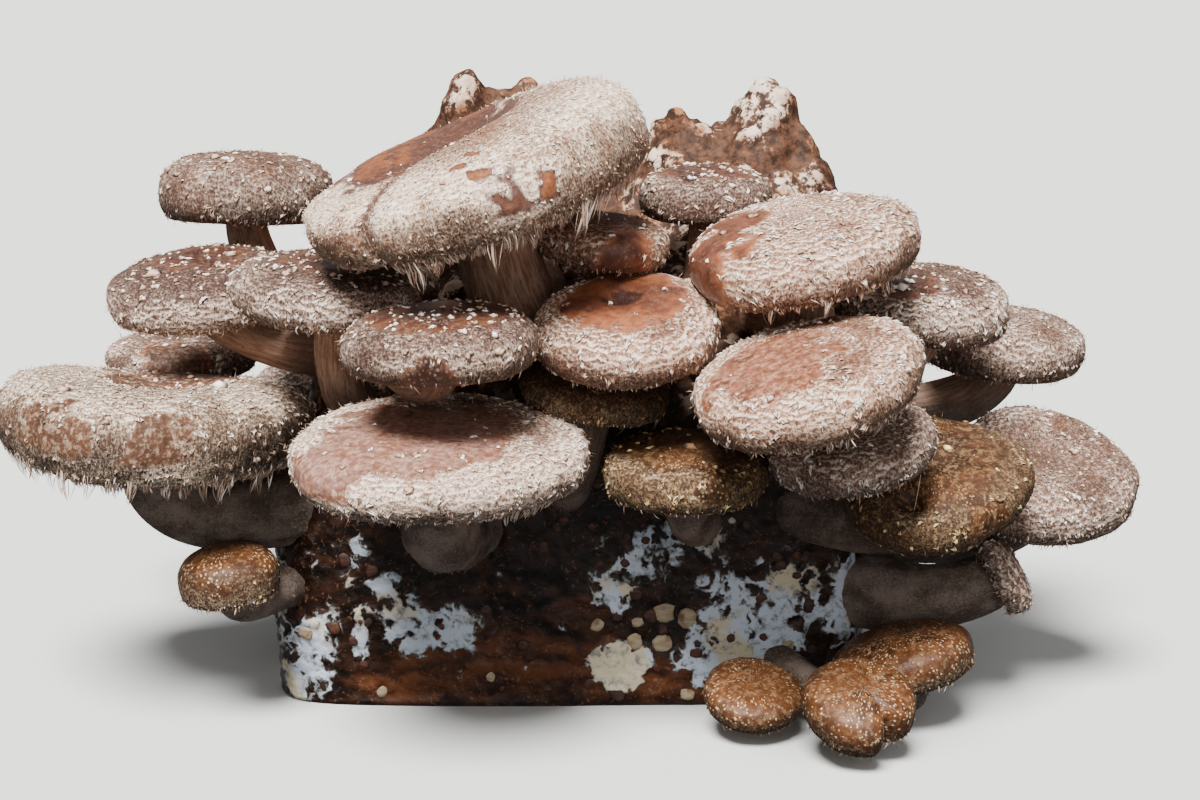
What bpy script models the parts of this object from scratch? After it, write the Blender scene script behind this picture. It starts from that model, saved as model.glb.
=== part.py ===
"""Shiitake grow block: a lumpy sawdust block with a crowd of shiitake grown from its faces.

Units are metres, +Z is up and -Y faces the viewer. The origin is the middle of the block's
flat base. Every mushroom is two solids: a cap with a recessed gill side, and a stem that runs
from the middle of the gills to the block.
"""
import math

import bmesh
import bpy
from mathutils import Euler, Vector

OBJECT_NAME = "shiitake_grow_block"
TOUCH_GAP = 0.0003  # gap kept between pieces that touch
MERGE_DISTANCE = 1e-6

# The sawdust block: a rounded box with a sloping, lumpy top
BLOCK_WIDTH = 0.192
BLOCK_DEPTH = 0.124
BLOCK_HEIGHT = 0.146
PLAN_EXPONENT = 8.0  # 2 is an ellipse, larger is squarer
SHOULDER_EXPONENT = 5.0
BASE_ROUNDING = 0.012  # share of the half width taken by the rounded base edge
TOP_SLOPE = 0.22  # rise of the top towards the back
PLAN_BULGE = 0.012  # three shallow bulges of the plan outline
PLAN_BULGE_TURN = 1.0
LEFT_FALL = 0.70  # fall of the top towards the left
LEFT_FALL_START = -0.035
BLOCK_STEPS = 44
BLOCK_ROWS = [0, 12, 24, 34, 44, 54, 64, 74, 82]  # degrees from the top's middle to the wall

# Lumps of the crust: x, y, height, radius
LUMPS = [
    (0.069, 0.030, 0.044, 0.018),
    (0.036, 0.026, 0.026, 0.015),
    (0.054, 0.000, 0.018, 0.016),
    (0.100, 0.020, 0.055, 0.018),
    (-0.038, 0.024, 0.042, 0.015),
    (-0.014, 0.032, 0.035, 0.015),
    (-0.060, 0.034, 0.014, 0.016),
    (0.012, 0.040, 0.014, 0.018),
    (0.038, 0.050, 0.012, 0.014),
]

# Caps: shares of the cap's radius or thickness
CAP_EXPONENT = 2.8  # roundness of the cap's upper side
UPPER_SHARE = 0.60  # share of the thickness above the widest ring
LIP_RADIUS = 0.84
GILL_RADIUS = 0.72
GILL_DEPTH = 0.55
SEAT_DEPTH = 0.35
SEAT_MARGIN = 1.18  # flat seat's radius over the stem's
DIP_RADIUS = 0.45
BIG_CAP = 0.065  # caps wider than this get finer steps
BIG_STEPS = 18
SMALL_STEPS = 12
BIG_CROWN_ROWS = [0, 32, 55, 74, 90]  # degrees from the crown to the widest ring
SMALL_CROWN_ROWS = [0, 38, 66, 90]
MARGIN_ROWS = [45, 90]  # degrees from the widest ring round to the lip
WAVES = 3  # waves round a cap's edge
USUAL_WAVE = 0.015
PHASE_STEP = 1.7  # each mushroom's waves are turned by this much more than the last one's

# Stems
STEM_POINTS = 5
NECK_LENGTH = 0.002  # straight start of a stem under the cap
ROOT_BEND = 0.35  # how long a stem keeps square to the block, as a share of its length
LIP_CLEARANCE = 0.002  # room between a stem and the cap's lip
DROP_EXCESS = 1.4  # a bend's control point lies this much lower than the bend
FOOT_SWELL = 1.35  # thickness at the block over thickness at the cap

# One row per mushroom. centre: middle of the cap's widest ring. lean: degrees that the cap
# tips to the viewer and to the right. root: a point inside the block where the stem starts.
# stem: its thickness under the cap. drop: how far it keeps going down before it bends.
# notch: angle, depth and width of a fold in the edge. lopsided: thicker to the right.
MUSHROOMS = [
    dict(place="far_left_wide", centre=(-0.129, -0.062, 0.092), diameter=0.097, thickness=0.60,
         lean=(-6, 4), root=(-0.086, -0.046, 0.063), stem=0.020, dip=0.40, saddle=0.05, wave=0.03),
    dict(place="front_low_wide", centre=(-0.037, -0.112, 0.094), diameter=0.086, thickness=0.40,
         lean=(6, 0), root=(-0.032, -0.054, 0.060), stem=0.021, dip=0.06, wave=0.02),
    dict(place="front_left_mid", centre=(-0.035, -0.118, 0.128), diameter=0.056, thickness=0.60,
         lean=(2, -2), root=(-0.050, -0.046, 0.117), stem=0.011),
    dict(place="centre_round", centre=(0.018, -0.100, 0.129), diameter=0.055, thickness=0.62,
         lean=(17, -4), root=(0.026, -0.044, 0.121), stem=0.012, drop=0.006, dip=0.10),
    dict(place="front_right_wide", centre=(0.068, -0.128, 0.119), diameter=0.066, thickness=0.56,
         lean=(10, -15), root=(0.042, -0.048, 0.110), stem=0.012),
    dict(place="low_centre", centre=(0.035, -0.098, 0.086), diameter=0.049, thickness=0.62,
         lean=(6, 0), root=(0.038, -0.054, 0.062), stem=0.012),
    dict(place="tucked_centre", centre=(0.009, -0.084, 0.108), diameter=0.045, thickness=0.55,
         lean=(6, 8), root=(-0.001, -0.054, 0.070), stem=0.011),
    dict(place="right_under", centre=(0.084, -0.106, 0.095), diameter=0.049, thickness=0.58,
         lean=(10, -13), root=(0.056, -0.052, 0.084), stem=0.010, drop=0.008),
    dict(place="right_low_split", centre=(0.110, -0.083, 0.079), diameter=0.060, thickness=0.58,
         lean=(26, -2), root=(0.072, -0.052, 0.064), stem=0.016, deep=0.92, wave=0.05),
    dict(place="far_right_saddle", centre=(0.151, -0.045, 0.072), diameter=0.058, thickness=0.72,
         lean=(24, 6), root=(0.086, -0.024, 0.052), stem=0.019, dip=0.45, saddle=0.05, wave=0.05),
    dict(place="right_upper", centre=(0.110, -0.058, 0.129), diameter=0.054, thickness=0.66,
         lean=(6, 3), root=(0.078, -0.034, 0.106), stem=0.013),
    dict(place="far_right_upper", centre=(0.144, -0.005, 0.107), diameter=0.056, thickness=0.66,
         lean=(3, 4), root=(0.080, 0.004, 0.080), stem=0.015),
    dict(place="upper_right_wide", centre=(0.069, -0.092, 0.151), diameter=0.068, thickness=0.55,
         lean=(9, -11), root=(0.056, -0.036, 0.122), stem=0.015),
    dict(place="top_right_small", centre=(0.043, -0.042, 0.161), diameter=0.041, thickness=0.72,
         lean=(4, 0), root=(0.036, -0.034, 0.124), stem=0.010),
    dict(place="top_centre_tucked", centre=(0.011, -0.075, 0.151), diameter=0.040, thickness=0.66,
         lean=(4, 6), root=(0.010, -0.036, 0.136), stem=0.009, drop=0.004),
    dict(place="top_large_lobed", centre=(-0.027, -0.090, 0.172), diameter=0.104, thickness=0.52,
         lean=(6, -17), root=(-0.012, -0.030, 0.126), stem=0.022, lopsided=0.40, dip=0.12, wave=0.02,
         notch=(222, 0.17, 11)),
    dict(place="top_left", centre=(-0.109, 0.010, 0.156), diameter=0.058, thickness=0.78,
         lean=(-3, 2), root=(-0.070, 0.004, 0.106), stem=0.013),
    dict(place="left_upper", centre=(-0.118, -0.028, 0.129), diameter=0.060, thickness=0.58,
         lean=(8, -4), root=(-0.074, -0.034, 0.110), stem=0.012, drop=0.006),
    dict(place="left_upper_front", centre=(-0.070, -0.072, 0.136), diameter=0.063, thickness=0.52,
         lean=(4, 2), root=(-0.061, -0.044, 0.094), stem=0.012),
    dict(place="left_tucked", centre=(-0.137, 0.030, 0.096), diameter=0.052, thickness=0.50,
         lean=(2, 0), root=(-0.082, 0.014, 0.072), stem=0.013),
    dict(place="left_button", centre=(-0.104, -0.079, 0.048), diameter=0.031, thickness=1.00,
         lean=(4, -4), root=(-0.086, -0.052, 0.038), stem=0.010, drop=0.010),
    dict(place="bottom_right_tilted", centre=(0.104, -0.078, 0.021), diameter=0.045, thickness=0.66,
         lean=(2, -14), root=(0.088, -0.038, 0.012), stem=0.011, drop=0.020, deep=0.84),
    dict(place="bottom_right_folded", centre=(0.087, -0.109, 0.017), diameter=0.034, thickness=0.84,
         lean=(26, 4), root=(0.063, -0.054, 0.015), stem=0.008, drop=0.006,
         notch=(310, 0.34, 18)),
    dict(place="bottom_right_low", centre=(0.057, -0.088, 0.013), diameter=0.031, thickness=0.62,
         lean=(20, 4), root=(0.052, -0.054, 0.012), stem=0.008, drop=0.006),
    dict(place="right_edge_small", centre=(0.138, -0.056, 0.042), diameter=0.026, thickness=0.80,
         lean=(0, 62), root=(0.088, -0.044, 0.035), stem=0.018),
    dict(place="back_high", centre=(-0.042, 0.094, 0.126), diameter=0.062, thickness=0.60,
         lean=(-10, -4), root=(-0.040, 0.044, 0.104), stem=0.014),
    dict(place="back_left", centre=(-0.088, 0.095, 0.074), diameter=0.068, thickness=0.56,
         lean=(-8, -6), root=(-0.064, 0.050, 0.050), stem=0.016, wave=0.03),
    dict(place="back_right", centre=(0.056, 0.100, 0.096), diameter=0.076, thickness=0.54,
         lean=(-8, 5), root=(0.050, 0.050, 0.070), stem=0.018, wave=0.03),
    dict(place="back_low", centre=(0.004, 0.088, 0.038), diameter=0.044, thickness=0.66,
         lean=(-6, 0), root=(0.004, 0.052, 0.026), stem=0.012),
]

CAP_BROWN = (0.20, 0.085, 0.045, 1.0)
STEM_TAN = (0.42, 0.30, 0.21, 1.0)
BLOCK_BROWN = (0.045, 0.018, 0.010, 1.0)


def clear_scene():
    for scene_object in list(bpy.data.objects):
        bpy.data.objects.remove(scene_object, do_unlink=True)


def principled(name, color, roughness):
    """A plain Principled material."""
    material = bpy.data.materials.new(name)
    material.use_nodes = True
    shader = material.node_tree.nodes["Principled BSDF"]
    shader.inputs["Base Color"].default_value = color
    shader.inputs["Roughness"].default_value = roughness
    shader.inputs["Metallic"].default_value = 0.0
    material.diffuse_color = color
    return material


def evaluated_mesh(source):
    """The object's mesh with its modifiers applied and its doubled points welded."""
    depsgraph = bpy.context.evaluated_depsgraph_get()
    depsgraph.update()
    mesh = bpy.data.meshes.new_from_object(source.evaluated_get(depsgraph))
    welded = bmesh.new()
    welded.from_mesh(mesh)
    bmesh.ops.remove_doubles(welded, verts=welded.verts, dist=MERGE_DISTANCE)
    welded.to_mesh(mesh)
    welded.free()
    return mesh


def turned_mesh(profile, steps):
    """A profile of (radius, height) points, top to bottom, turned about Z with a Screw modifier."""
    outline = bpy.data.meshes.new("profile")
    outline.from_pydata([(radius, 0.0, height) for radius, height in profile],
                        [(i, i + 1) for i in range(len(profile) - 1)], [])
    spindle = bpy.data.objects.new("profile", outline)
    bpy.context.scene.collection.objects.link(spindle)
    screw = spindle.modifiers.new("turn", "SCREW")
    screw.axis = "Z"
    screw.angle = math.tau
    screw.steps = steps
    screw.render_steps = steps
    screw.use_merge_vertices = True
    screw.merge_threshold = MERGE_DISTANCE
    mesh = evaluated_mesh(spindle)
    bpy.data.objects.remove(spindle, do_unlink=True)
    return mesh


def add_piece(name, mesh, collection, material, smooth_angle=50.0):
    """A named object of the finished part."""
    mesh.name = name
    mesh.materials.clear()
    mesh.materials.append(material)
    mesh.shade_smooth()
    mesh.set_sharp_from_angle(angle=math.radians(smooth_angle))
    piece = bpy.data.objects.new(name, mesh)
    collection.objects.link(piece)
    return piece


def block_profile():
    """Half outline of the block, as shares of its half width and of its height."""
    profile = []
    for angle in BLOCK_ROWS:
        side = math.sin(math.radians(angle)) ** (2 / SHOULDER_EXPONENT)
        level = math.cos(math.radians(angle)) ** (2 / SHOULDER_EXPONENT)
        profile.append((side, level))
    profile.append((1.0, BASE_ROUNDING))
    profile.append((1.0 - BASE_ROUNDING, 0.0))
    profile.append((0.0, 0.0))
    return profile


def top_height(x, y):
    """Height of the crust over a point of the base: a sloping plane with lumps on it."""
    height = BLOCK_HEIGHT + TOP_SLOPE * y - LEFT_FALL * max(0.0, LEFT_FALL_START - x)
    for lump_x, lump_y, lump_height, lump_radius in LUMPS:
        distance = math.hypot(x - lump_x, y - lump_y) / lump_radius
        height += lump_height * math.exp(-distance * distance)
    return height


def plan_radius(angle):
    """Reach of the block's plan outline, a superellipse with shallow bulges."""
    across = abs(math.cos(angle)) / (BLOCK_WIDTH / 2)
    deep = abs(math.sin(angle)) / (BLOCK_DEPTH / 2)
    reach = (across ** PLAN_EXPONENT + deep ** PLAN_EXPONENT) ** (-1 / PLAN_EXPONENT)
    return reach * (1 + PLAN_BULGE * math.sin(3 * angle + PLAN_BULGE_TURN))


def shape_block(mesh):
    """Turn the unit form into the block."""
    for vertex in mesh.vertices:
        share = math.hypot(vertex.co.x, vertex.co.y)
        angle = math.atan2(vertex.co.y, vertex.co.x)
        reach = share * plan_radius(angle)
        x = reach * math.cos(angle)
        y = reach * math.sin(angle)
        vertex.co = (x, y, vertex.co.z * top_height(x, y))


def cap_profile(mushroom):
    """Half outline of a cap of radius 1: height is 1 at the crown and -1 at the lip."""
    crown_rows = BIG_CROWN_ROWS if mushroom["diameter"] > BIG_CAP else SMALL_CROWN_ROWS
    profile = []
    for angle in crown_rows:
        side = math.sin(math.radians(angle)) ** (2 / CAP_EXPONENT)
        level = max(0.0, math.cos(math.radians(angle))) ** (2 / CAP_EXPONENT)
        profile.append((side, level))
    for angle in MARGIN_ROWS:
        side = LIP_RADIUS + (1 - LIP_RADIUS) * math.cos(math.radians(angle))
        profile.append((side, -math.sin(math.radians(angle))))
    seat_radius = SEAT_MARGIN * mushroom["stem"] / mushroom["diameter"]
    profile.append((GILL_RADIUS, -GILL_DEPTH))
    profile.append((seat_radius, -SEAT_DEPTH))
    profile.append((0.0, -SEAT_DEPTH))
    return profile


def shape_cap(mesh, mushroom, phase):
    """Turn the unit form into one cap: waves, a notch, a dip in the crown and a saddle bend."""
    radius = mushroom["diameter"] / 2
    upper = UPPER_SHARE * mushroom["thickness"] * radius
    lower = (1 - UPPER_SHARE) * mushroom["thickness"] * radius
    notch_angle, notch_depth, notch_width = mushroom.get("notch", (0, 0.0, 1))
    for vertex in mesh.vertices:
        share = math.hypot(vertex.co.x, vertex.co.y)
        angle = math.atan2(vertex.co.y, vertex.co.x)
        level = vertex.co.z
        reach = 1 + mushroom.get("wave", USUAL_WAVE) * math.sin(WAVES * angle + phase)
        turn = math.degrees(angle) - notch_angle
        turn = (turn + 180) % 360 - 180
        reach -= notch_depth * math.exp(-(turn / notch_width) ** 2) * share ** 2
        dip = mushroom.get("dip", 0.0) * math.exp(-(share / DIP_RADIUS) ** 2)
        lopsided = 1 + mushroom.get("lopsided", 0.0) * share * math.cos(angle)
        height = upper * level * (1 - dip) * lopsided if level > 0 else lower * level
        height += radius * mushroom.get("saddle", 0.0) * share ** 2 * math.cos(2 * angle)
        vertex.co.x *= radius * reach
        vertex.co.y *= radius * reach * mushroom.get("deep", 1.0)
        vertex.co.z = height


def cap_turn(mushroom):
    """Rotation of a cap: first tipped to the viewer, then to the right."""
    front, right = mushroom["lean"]
    return Euler((math.radians(front), math.radians(right), 0.0), "XYZ")


def stem_path(mushroom):
    """Points and thicknesses from the cap's seat to the root, along a smooth bend."""
    axis = cap_turn(mushroom).to_matrix() @ Vector((0.0, 0.0, 1.0))
    radius = mushroom["diameter"] / 2
    seat_level = (1 - UPPER_SHARE) * mushroom["thickness"] * radius * SEAT_DEPTH
    start = Vector(mushroom["centre"]) - axis * (seat_level + TOUCH_GAP)
    end = Vector(mushroom["root"])
    neck = start - axis * NECK_LENGTH
    drop = seat_level * (1 - SEAT_DEPTH) / SEAT_DEPTH + mushroom["stem"] / 2 + LIP_CLEARANCE
    outward = Vector((end.x / BLOCK_WIDTH, end.y / BLOCK_DEPTH, 0.0)).normalized()
    bend_a = neck - axis * mushroom.get("drop", DROP_EXCESS * drop)
    bend_b = end + outward * ROOT_BEND * (end - neck).length
    points = [(start, 1.0)]
    for i in range(STEM_POINTS):
        t = i / (STEM_POINTS - 1)
        s = 1 - t
        point = neck * s ** 3 + bend_a * 3 * s * s * t + bend_b * 3 * s * t * t + end * t ** 3
        points.append((point, 1 + (FOOT_SWELL - 1) * t))
    return points


def stem_mesh(mushroom):
    """A tube along the stem's path, as a closed mesh."""
    curve = bpy.data.curves.new("stem", "CURVE")
    curve.dimensions = "3D"
    curve.bevel_depth = mushroom["stem"] / 2
    curve.bevel_resolution = 2
    curve.use_fill_caps = True
    path = stem_path(mushroom)
    spline = curve.splines.new("POLY")
    spline.points.add(len(path) - 1)
    for control, (point, swell) in zip(spline.points, path):
        control.co = (point.x, point.y, point.z, 1.0)
        control.radius = swell
    tube = bpy.data.objects.new("stem", curve)
    bpy.context.scene.collection.objects.link(tube)
    mesh = evaluated_mesh(tube)
    bpy.data.objects.remove(tube, do_unlink=True)
    return mesh


def cut_by(piece, cutter):
    """Trim a piece where it enters the cutter."""
    cut = piece.modifiers.new("trim", "BOOLEAN")
    cut.operation = "DIFFERENCE"
    cut.solver = "EXACT"
    cut.object = cutter


def triangulate(mesh):
    """Fix the diagonals, so that a grown copy has the same ones."""
    faces = bmesh.new()
    faces.from_mesh(mesh)
    bmesh.ops.triangulate(faces, faces=faces.faces)
    faces.to_mesh(mesh)
    faces.free()


def add_block(collection):
    mesh = turned_mesh(block_profile(), BLOCK_STEPS)
    shape_block(mesh)
    triangulate(mesh)
    return add_piece("sawdust_block", mesh, collection, principled("sawdust_block", BLOCK_BROWN, 0.5))


def add_block_cutter(block, collection):
    """The block grown by the touch gap, which trims the stems' feet."""
    mesh = block.data.copy()
    for vertex in mesh.vertices:
        vertex.co += vertex.normal * TOUCH_GAP
    cutter = bpy.data.objects.new("block_cutter", mesh)
    cutter.hide_render = True
    cutter.display_type = "WIRE"
    collection.objects.link(cutter)
    return cutter


def add_cap(mushroom, phase, collection):
    steps = BIG_STEPS if mushroom["diameter"] > BIG_CAP else SMALL_STEPS
    mesh = turned_mesh(cap_profile(mushroom), steps)
    shape_cap(mesh, mushroom, phase)
    name = "cap_" + mushroom["place"]
    cap = add_piece(name, mesh, collection, principled(name, CAP_BROWN, 0.45))
    cap.location = mushroom["centre"]
    cap.rotation_euler = cap_turn(mushroom)
    return cap


def add_stem(mushroom, cutter, collection):
    name = "stem_" + mushroom["place"]
    stem = add_piece(name, stem_mesh(mushroom), collection, principled(name, STEM_TAN, 0.7))
    cut_by(stem, cutter)
    return stem


def main():
    clear_scene()
    parts = bpy.data.collections.new(OBJECT_NAME)
    cutters = bpy.data.collections.new(OBJECT_NAME + "_cutters")
    bpy.context.scene.collection.children.link(parts)
    bpy.context.scene.collection.children.link(cutters)
    block = add_block(parts)
    cutter = add_block_cutter(block, cutters)
    for number, mushroom in enumerate(MUSHROOMS):
        add_cap(mushroom, PHASE_STEP * number, parts)
        add_stem(mushroom, cutter, parts)


main()
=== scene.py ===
"""Looks of the shiitake grow block: scaly caps with gills and torn veils, fibrous stems, and a
wet brown sawdust block with lacy white growth on it. Metres, +Z up, -Y towards the viewer."""
import math

import bpy
import numpy as np
from mathutils import Euler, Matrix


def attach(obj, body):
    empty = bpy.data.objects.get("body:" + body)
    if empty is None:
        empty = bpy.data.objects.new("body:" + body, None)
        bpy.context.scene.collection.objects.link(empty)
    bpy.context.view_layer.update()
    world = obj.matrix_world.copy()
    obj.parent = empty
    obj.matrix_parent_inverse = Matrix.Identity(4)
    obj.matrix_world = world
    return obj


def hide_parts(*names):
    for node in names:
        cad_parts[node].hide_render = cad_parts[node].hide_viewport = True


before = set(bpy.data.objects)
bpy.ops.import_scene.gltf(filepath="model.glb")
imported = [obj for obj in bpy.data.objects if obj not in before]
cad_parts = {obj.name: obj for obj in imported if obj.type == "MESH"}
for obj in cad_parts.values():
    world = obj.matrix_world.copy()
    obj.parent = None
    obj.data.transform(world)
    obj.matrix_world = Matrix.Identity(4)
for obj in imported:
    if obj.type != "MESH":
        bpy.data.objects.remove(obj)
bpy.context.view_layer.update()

MM = 0.001

# The block, as the CAD has it
BLOCK_WIDTH = 0.192
BLOCK_DEPTH = 0.124
BLOCK_HEIGHT = 0.146
PLAN_EXPONENT = 8.0
SHOULDER_EXPONENT = 5.0
BASE_ROUNDING = 0.012
TOP_SLOPE = 0.22
PLAN_BULGE = 0.012
PLAN_BULGE_TURN = 1.0
LEFT_FALL = 0.70
LEFT_FALL_START = -0.035

# Lumps of the crust: x, y, height, radius
LUMPS = [
    (0.069, 0.030, 0.044, 0.018),
    (0.036, 0.026, 0.026, 0.015),
    (0.054, 0.000, 0.018, 0.016),
    (0.100, 0.020, 0.055, 0.018),
    (-0.038, 0.024, 0.042, 0.015),
    (-0.014, 0.032, 0.035, 0.015),
    (-0.060, 0.034, 0.014, 0.016),
    (0.012, 0.040, 0.014, 0.018),
    (0.038, 0.050, 0.012, 0.014),
]

# Caps and stems, as the CAD has them
CAP_EXPONENT = 2.8
UPPER_SHARE = 0.60
LIP_RADIUS = 0.84
SEAT_DEPTH = 0.35
SEAT_MARGIN = 1.18
DIP_RADIUS = 0.45
WAVES = 3
USUAL_WAVE = 0.015
PHASE_STEP = 1.7
TOUCH_GAP = 0.0003
NECK_LENGTH = 0.002
ROOT_BEND = 0.35
LIP_CLEARANCE = 0.002
DROP_EXCESS = 1.4
FOOT_SWELL = 1.35

# How finely the new surfaces are made, in metres
CAP_STEP = 0.0011
STEM_STEP = 0.0012
GILL_SPACING = 0.0016
SCALE_SPACING = 0.0024
FLAKE_SPACING = 0.0036
FUZZ_SPACING = 0.0021

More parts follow.
